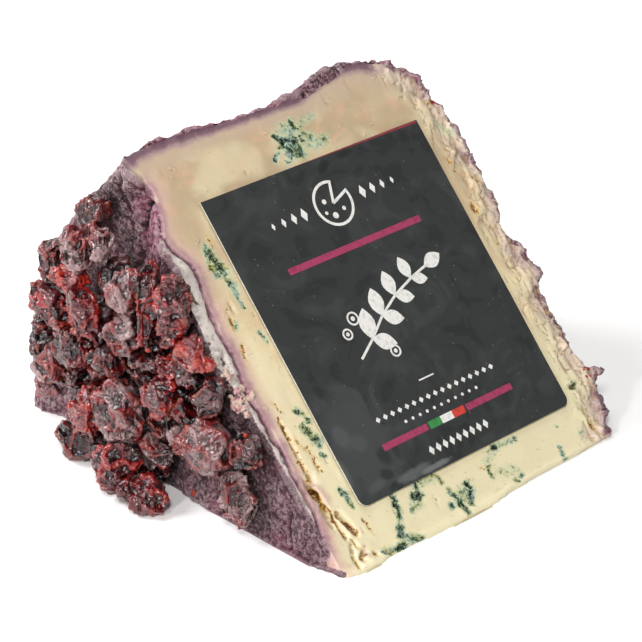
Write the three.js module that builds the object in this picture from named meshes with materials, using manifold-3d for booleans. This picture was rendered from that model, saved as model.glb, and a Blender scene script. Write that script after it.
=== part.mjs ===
// A wedge of blue cheese, an eighth of a wheel, lying on one of its two cut faces.
// X runs along the wheel's axis, from the face packed with cranberries to the wheel's base.
// Y runs from the wheel's centre line (the wedge's thin tip) out to its rim, and Z is up.
// The origin is the middle of the flat lower cut, which is the face that the wedge rests on.
// All sizes are in millimetres.
import * as THREE from 'three';
import { mergeVertices } from 'three/addons/utils/BufferGeometryUtils.js';
import Module from 'manifold-3d';

const { clamp, degToRad, lerp, smoothstep } = THREE.MathUtils;

// The wheel and the sector cut from it
const WHEEL_RADIUS = 120;
const WHEEL_HEIGHT = 102;
const SECTOR_ANGLE = degToRad(47.6);
const RIM_ROUND_AT_BERRIES = 6;
const RIM_ROUND_AT_BASE = 10;
const ORIGIN = new THREE.Vector3(WHEEL_HEIGHT / 2, WHEEL_RADIUS / 2, 0);

// How the hand-cut cheese strays from that sector, as [distance along the edge, offset] pairs.
// The berry face bulges (-) or hollows (+) along X, at the upper cut and at the lower one.
const BERRY_FACE_AT_UPPER_CUT = [
  [0, 1.5], [24, 0], [48, -1], [61, -3.5], [76, -2], [85, 0.3], [92, -1], [107, 4.4], [120, -1.5],
];
const BERRY_FACE_AT_LOWER_CUT = [[0, 1], [12, -1.5], [40, -1.5], [65, 0], [105, 3.5], [120, -0.5]];
// The base has torn, crumbly edges, so it swings further
const BASE_AT_UPPER_CUT = [
  [0, -2], [5, 2.5], [13, 4], [17, 8.5], [25, 2], [31, 5], [41, 2], [51, 5.5], [64, 3],
  [80, 6], [96, 2.5], [100, 4], [108, 1], [120, 0],
];
const BASE_AT_LOWER_CUT = [[0, 0], [20, 3], [45, 1], [70, 4], [95, 2], [120, 0]];
// The rim seen along X: a sag, then a lump where the cloth was folded
const RIM_AT_UPPER_CUT = [
  [0, -1], [15, -0.5], [45, -2.4], [58, -2.5], [75, 2], [82, 2.2], [92, -1.2], [102, -3.6],
];
const RIM_AT_LOWER_CUT = [[0, 3], [25, 0.5], [40, -1.5], [75, 0.5], [102, -1]];
// A dent in the rim by the berries, a little below the upper cut
const RIM_DENT = { turn: 0.84, spread: 0.12, depth: 3, width: 30 };
// The tip's front lip stands this far ahead of the wheel's centre line
const TIP_LIP = [
  [0, 0], [4, 2], [10, 2.8], [17, 0.8], [30, 1.8], [48, 2.8], [61, 0.5], [78, 0], [102, -0.8],
];
const TIP_UPPER_EDGE = 2;
const TIP_BULGE = new THREE.Vector2(-0.8, 0.9);

// Waviness of the skin, and how deep the upper cut has crumbled away along the base
const SKIN_WAVE = 0.7;
const SKIN_WAVELENGTH = 34;
const CRUMBLE_DEPTH = 2.4;
const CRUMBLE_WIDTH = 9;

// Steps of the cheese's surface grid along the axis, the radius and the angle. The axis steps
// are gathered towards the two rims, where the surface bends most.
const AXIS_STEPS = 16;
const AXIS_GATHER = 0.6;
const RADIUS_STEPS = 22;
const ANGLE_STEPS = 9;
const TIP_ANGLE_STEPS = 3;

// Label lying on the upper cut
const LABEL_WIDTH = 77.5;
const LABEL_HEIGHT = 86.5;
const LABEL_THICKNESS = 0.5;
const LABEL_FROM_BERRY_FACE = 15.7;
const LABEL_FROM_TIP = 13.2;
const LABEL_LOWER_CORNER_RADIUS = 2.3;

// Clearance kept between pieces that touch
const GAP = 0.3;

// Torn fissures in the upper cut. at: [from the berry face, from the tip]; half: half width, half
// length and depth; turn: degrees that the upper end leans towards the berry face.
const FISSURES = [
  { at: [2.4, 37.5], half: [0.9, 6.5, 1.6], turn: -3 },
  { at: [5.1, 23], half: [1.1, 4, 1.8], turn: 7 },
  { at: [5.7, 15.5], half: [1.1, 4.6, 2], turn: 2 },
  { at: [10, 11.8], half: [1, 5, 1.6], turn: 18 },
  { at: [7.8, 5], half: [0.9, 3.2, 1.4], turn: -20 },
  { at: [9.6, 72.5], half: [0.7, 3, 1.2], turn: 2 },
];

// Dried cranberries that show. at: [along Y, height] over the berry face; out: how far the middle
// stands off the face's plane; half: half sizes along X, along Y and up; turn: degrees about X;
// tip: an optional drawn-out point, as a direction and its length. Large ones have finer facets.
const CRANBERRIES = [
  // along the rim, from the upper cut down
  { at: [84.5, 72.6], out: 4, half: [4.2, 4, 5.2], turn: 20 },
  { at: [88, 61.4], out: 8, half: [4, 5, 5], turn: 10, tip: [[-0.1, 0.6, 0.8], 0.7], large: true },
  { at: [80, 65.4], out: 6.5, half: [3.4, 3.9, 6], turn: -12, tip: [[-0.2, -0.5, 0.8], 0.5], large: true },
  { at: [97.6, 54], out: 6, half: [5, 5.6, 5.8], turn: 30, large: true },
  { at: [91, 52], out: 9, half: [4.6, 7, 4], turn: -18 },
  { at: [96, 43.5], out: 8, half: [5.4, 7.4, 5.2], turn: 15, tip: [[-0.3, 0.8, 0.55], 0.55], large: true },
  { at: [104, 30], out: 6.5, half: [5, 5, 6.8], turn: -15 },
  { at: [99, 26], out: 8, half: [5, 5.8, 5.6], turn: 24, large: true },
  { at: [103, 16.5], out: 5.5, half: [4.6, 5.6, 3.6], turn: -10 },
  // the second column, down to the floor
  { at: [83, 44], out: 10, half: [3.2, 4.6, 8.6], turn: -20, tip: [[-0.3, 0.1, 0.95], 0.4], large: true },
  { at: [88, 35], out: 9, half: [4.8, 5.4, 6.2], turn: 12 },
  { at: [78, 34], out: 7, half: [4.8, 5.2, 4.4], turn: 35 },
  { at: [91, 25], out: 6, half: [4.4, 5, 4], turn: -25 },
  { at: [83, 18], out: 11, half: [3, 4.8, 8.8], turn: 24, large: true },
  { at: [90, 6], out: 8, half: [5.2, 6.2, 5.8], turn: -30, tip: [[-0.1, 0.98, 0.15], 0.35], large: true },
  { at: [72, 21.5], out: 8.5, half: [5.6, 8, 8.8], turn: 10, large: true },
  { at: [69, 9], out: 11, half: [6, 8, 7.4], turn: -28, large: true },
  { at: [61, 4], out: 11.5, half: [5, 7.4, 4.4], turn: 8, large: true },
  // the middle of the face
  { at: [67, 58], out: 9, half: [4.4, 5.2, 5.2], turn: 20, large: true },
  { at: [71, 45], out: 7.5, half: [5, 6.2, 6.6], turn: -15, large: true },
  { at: [59.5, 56], out: 8, half: [4.4, 3.8, 11], turn: -8, large: true },
  { at: [53.3, 55.5], out: 6, half: [5.2, 5.8, 10.4], turn: 12, large: true },
  { at: [62, 39.5], out: 7.5, half: [3.2, 7, 3.2], turn: -32 },
  { at: [54, 41.5], out: 6, half: [3.4, 3.8, 3.4], turn: 0 },
  { at: [45.5, 46], out: 5, half: [4.2, 5.4, 6.4], turn: 18, large: true },
  { at: [55.5, 32.5], out: 8, half: [4.8, 6.4, 5.2], turn: -24, large: true },
  { at: [42, 37.5], out: 5, half: [4.8, 6, 5.2], turn: 15, large: true },
  { at: [47.5, 31.5], out: 6, half: [3.6, 4.6, 4.2], turn: 40 },
  { at: [50, 21.5], out: 7, half: [2.8, 3.8, 6.8], turn: 28, large: true },
  { at: [59.5, 15.5], out: 6, half: [3.8, 5, 5], turn: -35, large: true },
  { at: [66.5, 10], out: 5, half: [3.2, 4.4, 4.8], turn: 0 },
  { at: [39.5, 24], out: 6.5, half: [5.6, 7.4, 7.2], turn: 12, large: true },
  { at: [28.8, 26], out: 4, half: [4.2, 4, 5.6], turn: -20, large: true },
  { at: [32.8, 10.5], out: 2.6, half: [2.6, 6.2, 7], turn: 16, large: true },
];
// The bed of cranberries beneath, in staggered rows pushed into the skin
const BED_SPACING = [14, 12];
const BED_FIRST = [38, 7];
const BED_ROWS = 5;
const BED_JITTER = 2;
const BED_OUT = 2.5;
const BED_HALF = [4, 6.8];
const BED_RADII = [55, 106];
const BED_SLOPE = 0.92;
const CRANBERRY_SWELL = 1.14;
const FOLDS_PER_CRANBERRY = 5;
const FOLD_DEPTH = [0.1, 0.3];
const FOLD_WIDTH = [0.16, 0.3];
const LUMP = 0.07;
const TIP_SPREAD = 0.3;
const FLOOR_CLEARANCE = 0.1;
// No cranberry's middle is nearer to the skin than this
const LEAST_OUT = 2.5;
const SHAPE_SEED = 900;
const BED_SEED = 41;

// Reads an outline of [place, offset] pairs at a place, easing from each pair to the next
function readOutline(outline, place) {
  const next = outline.findIndex(([start]) => start > place);
  if (next === 0) return outline[0][1];
  if (next < 0) return outline.at(-1)[1];
  const [start, from] = outline[next - 1];
  const [end, to] = outline[next];
  return lerp(from, to, smoothstep(place, start, end));
}

// Rounds a square corner. Both distances are measured in from the corner's two faces.
function roundCorner(fromFirst, fromSecond, radius) {
  const inset = Math.min(fromFirst, fromSecond);
  const reach = Math.max(radius - inset, 0);
  const along = fromFirst - fromSecond;
  if (Math.abs(along) >= reach) return [fromFirst, fromSecond];
  const angle = (along / reach + 1) * Math.PI / 4;
  return [
    inset + reach * (1 - Math.cos(angle)),
    inset + reach * (1 - Math.sin(angle)),
  ];
}

// A slow wave over a face, zero at both cuts, where the outlines rule
function skinWave(first, second, turn) {
  const scale = 2 * Math.PI / SKIN_WAVELENGTH;
  const wave = Math.sin(first * scale + 1.7) * Math.cos(second * scale * 1.3 + 0.6);
  return SKIN_WAVE * wave * Math.sin(Math.PI * turn);
}

// How far the berry face lies along X at a radius and a turn from the lower cut (0) to the upper (1)
function berryFaceOffset(radius, turn) {
  const edges = lerp(
    readOutline(BERRY_FACE_AT_LOWER_CUT, radius),
    readOutline(BERRY_FACE_AT_UPPER_CUT, radius),
    turn,
  );
  return edges + skinWave(radius, turn * SECTOR_ANGLE * radius, turn);
}

function baseOffset(radius, turn) {
  const edges = lerp(
    readOutline(BASE_AT_LOWER_CUT, radius),
    readOutline(BASE_AT_UPPER_CUT, radius),
    turn ** 2,
  );
  return edges + 1.5 * skinWave(turn * SECTOR_ANGLE * radius, radius, turn);
}

function rimOffset(along, turn) {
  const edges = lerp(
    readOutline(RIM_AT_LOWER_CUT, along),
    readOutline(RIM_AT_UPPER_CUT, along),
    smoothstep(turn, 0.3, 1),
  );
  const fromDent = (turn - RIM_DENT.turn) / RIM_DENT.spread;
  const dent = RIM_DENT.depth * Math.exp(-fromDent * fromDent) * (1 - smoothstep(along, 0, RIM_DENT.width));
  return edges - dent + skinWave(along, turn * SECTOR_ANGLE * WHEEL_RADIUS, turn);
}

// The radius where the wedge starts: ahead of the centre line at the floor, behind it at the top
function tipRadius(along, turn) {
  return lerp(-readOutline(TIP_LIP, along), TIP_UPPER_EDGE, turn);
}

// Maps the unit cube's surface to the cheese: axis 0..1 from the berry face to the base,
// reach 0..1 from the tip to the rim, turn 0..1 from the lower cut to the upper
function cheesePoint(axis, reach, turn) {
  const atTip = reach === 0;
  const steppedTurn = atTip ? Math.round(turn * TIP_ANGLE_STEPS) / TIP_ANGLE_STEPS : turn;
  let along = axis * WHEEL_HEIGHT;
  let fromRim = (1 - reach) * WHEEL_RADIUS;
  [along, fromRim] = roundCorner(along, fromRim, RIM_ROUND_AT_BERRIES);
  let fromBase = WHEEL_HEIGHT - along;
  [fromBase, fromRim] = roundCorner(fromBase, fromRim, RIM_ROUND_AT_BASE);
  along = WHEEL_HEIGHT - fromBase;

  const nominal = WHEEL_RADIUS - fromRim;
  const outward = nominal / WHEEL_RADIUS;
  const radius = nominal
    + rimOffset(along, steppedTurn) * outward
    + tipRadius(along, steppedTurn) * (1 - outward);
  const x = along
    + berryFaceOffset(nominal, steppedTurn) * (1 - axis)
    + baseOffset(nominal, steppedTurn) * axis;

  const angle = steppedTurn * SECTOR_ANGLE;
  const bulge = atTip ? Math.sin(Math.PI * steppedTurn) : 0;
  const y = radius * Math.cos(angle) + TIP_BULGE.x * bulge;
  const z = radius * Math.sin(angle) + TIP_BULGE.y * bulge;

  // The upper cut has broken away unevenly next to the base
  const nearBase = smoothstep(axis, 1 - CRUMBLE_WIDTH / WHEEL_HEIGHT, 1);
  const bite = 0.5 + 0.5 * Math.sin(nominal * 0.42) * Math.cos(nominal * 0.17 + 1);
  const drop = turn === 1 && !atTip ? CRUMBLE_DEPTH * nearBase * bite : 0;
  return new THREE.Vector3(
    x,
    y + drop * Math.sin(SECTOR_ANGLE),
    z - drop * Math.cos(SECTOR_ANGLE),
  );
}

// Keeps only positions, joins equal corners and drops the faces that have collapsed
function weld(geometry) {
  geometry.deleteAttribute('normal');
  geometry.deleteAttribute('uv');
  const welded = mergeVertices(geometry, 1e-4);
  const corners = welded.index.array;
  const kept = [];
  for (let face = 0; face < corners.length; face += 3) {
    const [a, b, c] = corners.slice(face, face + 3);
    if (a !== b && b !== c && c !== a) kept.push(a, b, c);
  }
  welded.setIndex(kept);
  return welded;
}

const wasm = await Module();
wasm.setup();

function toManifold(geometry) {
  const vertProperties = new Float32Array(geometry.attributes.position.array);
  const triVerts = new Uint32Array(geometry.index.array);
  return new wasm.Manifold(new wasm.Mesh({ numProp: 3, vertProperties, triVerts }));
}

function fromManifold(solid) {
  const mesh = solid.getMesh();
  const geometry = new THREE.BufferGeometry();
  geometry.setAttribute('position', new THREE.BufferAttribute(mesh.vertProperties, 3));
  geometry.setIndex(new THREE.BufferAttribute(mesh.triVerts, 1));
  return geometry;
}

// A place on the upper cut: across from the berry face, up from the tip, proud of the cut
function onUpperCut(across, up, proud) {
  return new THREE.Vector3(
    across,
    up * Math.cos(SECTOR_ANGLE) - proud * Math.sin(SECTOR_ANGLE),
    up * Math.sin(SECTOR_ANGLE) + proud * Math.cos(SECTOR_ANGLE),
  );
}

function makeCheese() {
  const geometry = new THREE.BoxGeometry(1, 1, 1, AXIS_STEPS, RADIUS_STEPS, ANGLE_STEPS);
  const corners = geometry.attributes.position;
  for (let i = 0; i < corners.count; i += 1) {
    const [step, reach, turn] = [corners.getX(i), corners.getY(i), corners.getZ(i)].map((c) => c + 0.5);
    const axis = step - AXIS_GATHER * Math.sin(2 * Math.PI * step) / (2 * Math.PI);
    const point = cheesePoint(axis, reach, turn);
    corners.setXYZ(i, point.x, point.y, point.z);
  }
  let cheese = toManifold(weld(geometry));
  for (const { at: [across, up], half, turn } of FISSURES) {
    const cutter = new THREE.IcosahedronGeometry(1, 1);
    cutter.scale(...half);
    cutter.rotateZ(degToRad(turn));
    cutter.rotateX(SECTOR_ANGLE);
    cutter.translate(...onUpperCut(across, up, 0));
    cheese = cheese.subtract(toManifold(weld(cutter)));
  }
  return fromManifold(cheese);
}

function makeLabel() {
  const halfWidth = LABEL_WIDTH / 2;
  const corner = LABEL_LOWER_CORNER_RADIUS;
  const outline = new THREE.Shape();
  outline.moveTo(halfWidth, LABEL_HEIGHT);
  outline.lineTo(-halfWidth, LABEL_HEIGHT);
  outline.lineTo(-halfWidth, corner);
  outline.absarc(-halfWidth + corner, corner, corner, Math.PI, 1.5 * Math.PI);
  outline.lineTo(halfWidth - corner, 0);
  outline.absarc(halfWidth - corner, corner, corner, -Math.PI / 2, 0);
  outline.closePath();
  return new THREE.ExtrudeGeometry(outline, {
    depth: LABEL_THICKNESS,
    bevelEnabled: false,
    curveSegments: 6,
  });
}

// A small repeatable random source
function seededRandom(seed) {
  let state = seed;
  return () => {
    state = (state + 0x6d2b79f5) | 0;
    let mixed = Math.imul(state ^ (state >>> 15), 1 | state);
    mixed = (mixed + Math.imul(mixed ^ (mixed >>> 7), 61 | mixed)) ^ mixed;
    return ((mixed ^ (mixed >>> 14)) >>> 0) / 4294967296;
  };
}

const between = ([low, high], random) => lerp(low, high, random());

function randomDirection(random) {
  const height = 2 * random() - 1;
  const turn = 2 * Math.PI * random();
  const flat = Math.sqrt(1 - height * height);
  return new THREE.Vector3(flat * Math.cos(turn), flat * Math.sin(turn), height);
}

// The X of the berry face's outer skin behind a point, or Infinity past the rim
function berryFaceX(point) {
  const turn = clamp(Math.atan2(point.z, point.y) / SECTOR_ANGLE, 0, 1);
  const tip = tipRadius(0, turn);
  const stretch = 1 + (rimOffset(0, turn) - tip) / WHEEL_RADIUS;
  const nominal = (Math.hypot(point.y, point.z) - tip) / stretch;
  const intoRim = nominal - (WHEEL_RADIUS - RIM_ROUND_AT_BERRIES);
  if (intoRim >= RIM_ROUND_AT_BERRIES) return Infinity;
  const rounding = intoRim > 0
    ? RIM_ROUND_AT_BERRIES - Math.sqrt(RIM_ROUND_AT_BERRIES ** 2 - intoRim ** 2)
    : 0;
  return berryFaceOffset(nominal, turn) + rounding;
}

// The lower layer, which shows only in the gaps: rows over the stretch of skin that the pile covers
function bedOfCranberries() {
  const random = seededRandom(BED_SEED);
  const jitter = () => BED_JITTER * (2 * random() - 1);
  const bed = [];
  for (let row = 0; row < BED_ROWS; row += 1) {
    const stagger = row % 2 === 0 ? 0 : BED_SPACING[0] / 2;
    for (let y = BED_FIRST[0] + stagger; y < WHEEL_RADIUS; y += BED_SPACING[0]) {
      const at = [y + jitter(), BED_FIRST[1] + row * BED_SPACING[1] + jitter() / 2];
      const half = [between(BED_HALF, random), between(BED_HALF, random), between(BED_HALF, random)];
      const radius = Math.hypot(...at);
      const isCovered = radius > BED_RADII[0] && radius < BED_RADII[1] && at[1] < BED_SLOPE * at[0];
      if (isCovered) bed.push({ at, out: BED_OUT, half, turn: 40 * random(), detail: 1 });
    }
  }
  return bed;
}

// Places a cranberry's middle, and works out how far its ellipsoid reaches along a direction
function layCranberry({ at: [y, z], out, half, turn, tip, detail }, number) {
  const middle = new THREE.Vector3(-out, y, z);
  middle.x = Math.min(middle.x, berryFaceX(middle) - LEAST_OUT);
  const spin = new THREE.Quaternion().setFromAxisAngle(new THREE.Vector3(1, 0, 0), degToRad(turn));
  const unspin = spin.clone().invert();
  const sizes = new THREE.Vector3(...half);
  const reach = (direction) => direction.clone().applyQuaternion(unspin).multiply(sizes).length();
  return { number, middle, spin, sizes, tip, detail, reach };
}

// A shrivelled skin: an even ball with random folds pressed in and slow lumps
function shrivel(ball, berry) {
  const random = seededRandom(SHAPE_SEED + berry.number);
  const folds = Array.from({ length: FOLDS_PER_CRANBERRY }, () => ({
    across: randomDirection(random),
    toward: randomDirection(random),
    shift: 0.5 * (random() - 0.5),
    depth: between(FOLD_DEPTH, random),
    width: between(FOLD_WIDTH, random),
  }));
  const lumpAxis = randomDirection(random);
  const point = new THREE.Vector3();
  const corners = ball.attributes.position;
  const tipDirection = berry.tip && new THREE.Vector3(...berry.tip[0]).normalize();
  for (let i = 0; i < corners.count; i += 1) {
    point.fromBufferAttribute(corners, i).normalize();
    let swell = CRANBERRY_SWELL + LUMP * Math.sin(5 * point.dot(lumpAxis) + berry.number);
    for (const fold of folds) {
      const offset = (point.dot(fold.across) - fold.shift) / fold.width;
      const side = smoothstep(point.dot(fold.toward), -0.4, 0.5);
      swell -= fold.depth * side * Math.exp(-offset * offset);
    }
    point.multiplyScalar(swell).multiply(berry.sizes).applyQuaternion(berry.spin);
    if (tipDirection) {
      const away = point.clone().normalize().angleTo(tipDirection) / TIP_SPREAD;
      point.multiplyScalar(1 + berry.tip[1] * Math.exp(-away * away));
    }
    corners.setXYZ(i, point.x, point.y, point.z);
  }
}

// Flat walls that part each cranberry from those round it, in proportion to their sizes
function wallsAround(berry, all) {
  const walls = [];
  for (const other of all) {
    if (other === berry) continue;
    const toward = other.middle.clone().sub(berry.middle);
    const distance = toward.length();
    toward.divideScalar(distance);
    const mine = berry.reach(toward);
    const theirs = other.reach(toward);
    walls.push({ toward, stop: distance * mine / (mine + theirs) - GAP / 2 });
  }
  return walls;
}

// Rounds of halving that find where a corner meets the curved skin
const HALVINGS = 20;

// Presses a cranberry flat against its neighbours, the cheese and the floor. Each corner only
// slides along its own line to the middle, so the skin can't cross itself.
function press(ball, berry, all) {
  const walls = wallsAround(berry, all);
  walls.push({ toward: new THREE.Vector3(0, 0, -1), stop: berry.middle.z - FLOOR_CLEARANCE });
  const corners = ball.attributes.position;
  const line = new THREE.Vector3();
  const place = new THREE.Vector3();
  const isClear = (share) => {
    place.copy(line).multiplyScalar(share).add(berry.middle);
    return place.x <= berryFaceX(place) - 2 * GAP;
  };
  for (let i = 0; i < corners.count; i += 1) {
    line.fromBufferAttribute(corners, i);
    for (const { toward, stop } of walls) {
      const reach = line.dot(toward);
      if (reach > stop) line.multiplyScalar(stop / reach);
    }
    if (!isClear(1)) {
      let inside = 0;
      let outside = 1;
      for (let round = 0; round < HALVINGS; round += 1) {
        const middle = (inside + outside) / 2;
        if (isClear(middle)) inside = middle;
        else outside = middle;
      }
      line.multiplyScalar(inside);
    }
    corners.setXYZ(i, line.x, line.y, line.z);
  }
}

function makeCranberry(berry, all) {
  const ball = weld(new THREE.IcosahedronGeometry(1, berry.detail));
  shrivel(ball, berry);
  press(ball, berry, all);
  return ball;
}

const creamCheese = new THREE.MeshStandardMaterial({ color: '#dccba4', roughness: 0.55 });
const printedPaper = new THREE.MeshStandardMaterial({ color: '#3a3b3c', roughness: 0.4 });
const BERRY_COLOURS = ['#4a1a22', '#6d5a5c', '#7a1a1f', '#33161a'];

const wedge = new THREE.Group();
const cutFromWheel = new THREE.Group();
cutFromWheel.position.copy(ORIGIN).negate();
wedge.add(cutFromWheel);

const cheese = new THREE.Mesh(makeCheese(), creamCheese);
cheese.name = 'cheese';
cutFromWheel.add(cheese);

const label = new THREE.Mesh(makeLabel(), printedPaper);
label.name = 'label';
label.rotation.x = SECTOR_ANGLE;
label.position.copy(onUpperCut(LABEL_FROM_BERRY_FACE + LABEL_WIDTH / 2, LABEL_FROM_TIP, GAP));
cutFromWheel.add(label);

const shown = CRANBERRIES.map((berry) => ({ ...berry, detail: berry.large ? 3 : 2 }));
const berries = [...shown, ...bedOfCranberries()].map(layCranberry);
for (const berry of berries) {
  const colour = BERRY_COLOURS[berry.number % BERRY_COLOURS.length];
  const driedSkin = new THREE.MeshStandardMaterial({ color: colour, roughness: 0.35 });
  const cranberry = new THREE.Mesh(makeCranberry(berry, berries), driedSkin);
  cranberry.name = `cranberry_${String(berry.number + 1).padStart(2, '0')}`;
  cranberry.position.copy(berry.middle);
  cutFromWheel.add(cranberry);
}

export default wedge;
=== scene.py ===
import math
import random

import bmesh
import bpy
import numpy as np
from mathutils import Matrix, Vector, noise
from mathutils.bvhtree import BVHTree


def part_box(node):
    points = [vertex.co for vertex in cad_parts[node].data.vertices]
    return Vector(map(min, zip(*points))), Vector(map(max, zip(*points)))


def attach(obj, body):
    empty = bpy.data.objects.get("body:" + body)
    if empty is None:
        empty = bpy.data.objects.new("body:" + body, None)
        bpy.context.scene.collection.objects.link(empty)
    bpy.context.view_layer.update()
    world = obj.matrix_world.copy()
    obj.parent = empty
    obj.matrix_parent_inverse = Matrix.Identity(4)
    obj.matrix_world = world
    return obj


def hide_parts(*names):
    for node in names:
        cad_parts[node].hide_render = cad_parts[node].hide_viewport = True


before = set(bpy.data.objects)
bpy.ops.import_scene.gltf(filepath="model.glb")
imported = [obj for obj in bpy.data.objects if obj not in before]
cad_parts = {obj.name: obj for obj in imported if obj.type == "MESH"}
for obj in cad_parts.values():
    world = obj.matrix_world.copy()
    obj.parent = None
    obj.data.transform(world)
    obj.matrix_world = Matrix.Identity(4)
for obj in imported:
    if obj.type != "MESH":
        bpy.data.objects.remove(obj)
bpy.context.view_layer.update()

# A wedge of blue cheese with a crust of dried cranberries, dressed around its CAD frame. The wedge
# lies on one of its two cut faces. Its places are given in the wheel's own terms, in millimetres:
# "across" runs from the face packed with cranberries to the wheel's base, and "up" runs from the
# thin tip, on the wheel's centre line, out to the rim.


# ------------------------------------------------------------------------------------------------
# The cheese. A soft blue paste in a rind that was washed in red wine: velvety purple outside, a
# chalky white layer under it, then a plum line where the wine stopped. The knife left the upper cut
# smooth, and the paste tore along the base and beside the berries.
MM = 0.001
CUT_ANGLE = math.radians(47.6)
WHEEL_CORNER = Vector((-51.0, -60.0, 0.0))

# The rind is painted dark wine-red this far round the berries: painted shade in the gaps between them, and
# juice stain
BERRY_SHADE_AND_STAIN_REACH = 6.0

# Even faces of this size are fine enough for the rind's grain
CHEESE_VOXEL = 0.635
# What lies further in than this from the edge of the floor's patch or of the label can't be seen
HIDDEN_MARGIN = 1.2

# The plum line on the upper cut, as (up, across)
PLUM_LINE = [
    (0, 0.5), (10.0, 1.4), (18.8, 2.5), (25.5, 1.9), (35.9, 2.2), (38.3, 1.1), (42.2, 1.9), (45.9, 1.6),
    (54.9, 1.5), (61.4, 2.9), (67.8, 2.3), (75.4, 3.1), (80.5, 4.3), (84.5, 5.1), (91.5, 1.6),
    (95.9, 0.8), (101.5, 3.4), (107.4, 4.4), (113.0, 2.9), (118.0, 0.5),
]
# The rind curls this far over the rim's edge onto the upper cut, as (across, width)
RIM_SKIN = [
    (0, 0.2), (6, 0.5), (20, 0.4), (44, 0.2), (54, 0.1), (60, 0.8), (64, 2.4), (70, 3.2), (76, 3.2),
    (80, 2.0), (84, 0.4), (102, 0.2),
]
# On the blunt tip the rind thins out this much with each millimetre across
TIP_SKIN = 0.14
# Wine has soaked this deep from the rim into the paste, as (across, depth)
RIM_WINE = [
    (0, 5.0), (20, 4.8), (30, 3.8), (50, 3.5), (60, 4.0), (72, 5.0), (84, 5.6), (95, 5.0), (102, 4.0),
]
# Away from the upper cut the line keeps this far under the skin
PLUM_DEPTH = 3.0

# Blue-green mould on the upper cut. Each streak runs between two places (across, up), spreads
# that far to each side, and has a strength.
MOULD = [
    # the cluster above the label
    ((47.8, 109.0), (49.6, 106.4), 1.3, 1.1), ((49.4, 105.6), (47.7, 105.6), 0.9, 1.1),
    ((50.2, 107.6), (51.2, 106.4), 1.0, 1.0), ((54.8, 111.6), (55.2, 109.4), 1.0, 1.0),
    ((51.5, 109.8), (55.5, 109.5), 2.6, 0.5), ((56.5, 110.2), (62.6, 110.8), 1.2, 0.42),
    ((52.8, 106.3), (52.4, 102.8), 1.9, 0.95), ((55.2, 106.6), (58.4, 105.6), 1.7, 0.7),
    ((49.4, 102.8), (50.6, 104.6), 1.5, 0.9), ((56.5, 103.6), (62.4, 103.8), 1.8, 0.5),
    ((44.3, 103.2), (45.8, 104.3), 0.9, 1.15), ((47.6, 101.6), (47.6, 101.6), 0.8, 1.0),
    # the streak left of the label
    ((11.2, 87.6), (12.8, 81.2), 1.5, 0.95), ((12.4, 81.2), (13.4, 75.4), 1.3, 0.9),
    ((9.8, 84.6), (10.6, 80.6), 0.9, 0.85), ((13.0, 75.0), (13.3, 71.5), 0.8, 0.8),
    ((7.6, 69.2), (8.2, 67.4), 1.1, 0.7), ((13.4, 64.0), (14.4, 61.0), 0.7, 0.8),
    ((12.6, 42.6), (14.6, 38.4), 0.9, 1.0), ((12.0, 37.6), (14.1, 32.4), 1.3, 0.9),
    ((12.8, 30.0), (14.0, 28.8), 0.8, 0.8), ((13.0, 19.6), (13.6, 15.0), 0.9, 0.85),
    # the strip under the label
    ((26.4, 13.2), (26.2, 9.6), 1.0, 1.15), ((26.0, 8.8), (25.0, 6.6), 1.2, 0.8),
    ((35.0, 13.4), (34.4, 11.2), 0.9, 1.0), ((32.2, 10.0), (34.4, 9.6), 1.2, 1.1),
    ((30.6, 7.6), (33.0, 7.4), 1.4, 0.62), ((34.6, 13.0), (41.2, 12.2), 1.7, 0.45),
    ((41.4, 12.4), (42.4, 9.8), 0.8, 0.85), ((43.6, 7.2), (45.0, 4.0), 0.8, 1.1),
    ((45.0, 4.0), (44.8, 0.0), 0.9, 1.0), ((49.6, 7.2), (49.8, 4.4), 0.8, 1.15),
    ((49.6, 4.4), (48.2, 1.8), 0.9, 1.05), ((45.2, 4.4), (49.2, 5.4), 2.4, 0.5),
    ((41.6, 3.9), (42.2, 3.5), 0.9, 1.05), ((23.8, 5.4), (23.0, 2.6), 1.2, 0.95),
    ((24.4, 1.2), (27.6, 0.2), 1.4, 0.9), ((16.2, 1.2), (22.4, 0.0), 1.0, 1.1),
    ((63.3, 12.2), (64.0, 11.8), 0.8, 1.2), ((64.6, 12.0), (71.0, 11.4), 1.0, 0.5),
    ((58.5, 8.2), (58.1, 5.0), 0.6, 1.05), ((59.0, 9.6), (61.5, 10.6), 2.0, 0.36),
    ((64.2, 1.9), (64.8, 1.6), 0.6, 1.0), ((66.6, 2.4), (67.4, 2.1), 0.6, 0.95),
    ((83.4, 4.2), (82.8, 2.2), 0.6, 0.8), ((82.3, 0.9), (84.0, 0.6), 0.7, 0.85),
    ((97.0, 17.0), (99.2, 17.0), 0.9, 1.2), ((85.8, 9.8), (86.2, 9.4), 0.5, 0.7),
    ((92.0, 5.6), (92.8, 5.2), 0.5, 0.75), ((61.0, 6.0), (66.0, 4.4), 2.2, 0.3),
    # grey-blue patches in the torn strip
    ((99.6, 98.0), (103.0, 93.0), 1.7, 0.34), ((106.6, 78.0), (108.0, 73.0), 1.5, 0.55),
]
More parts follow.
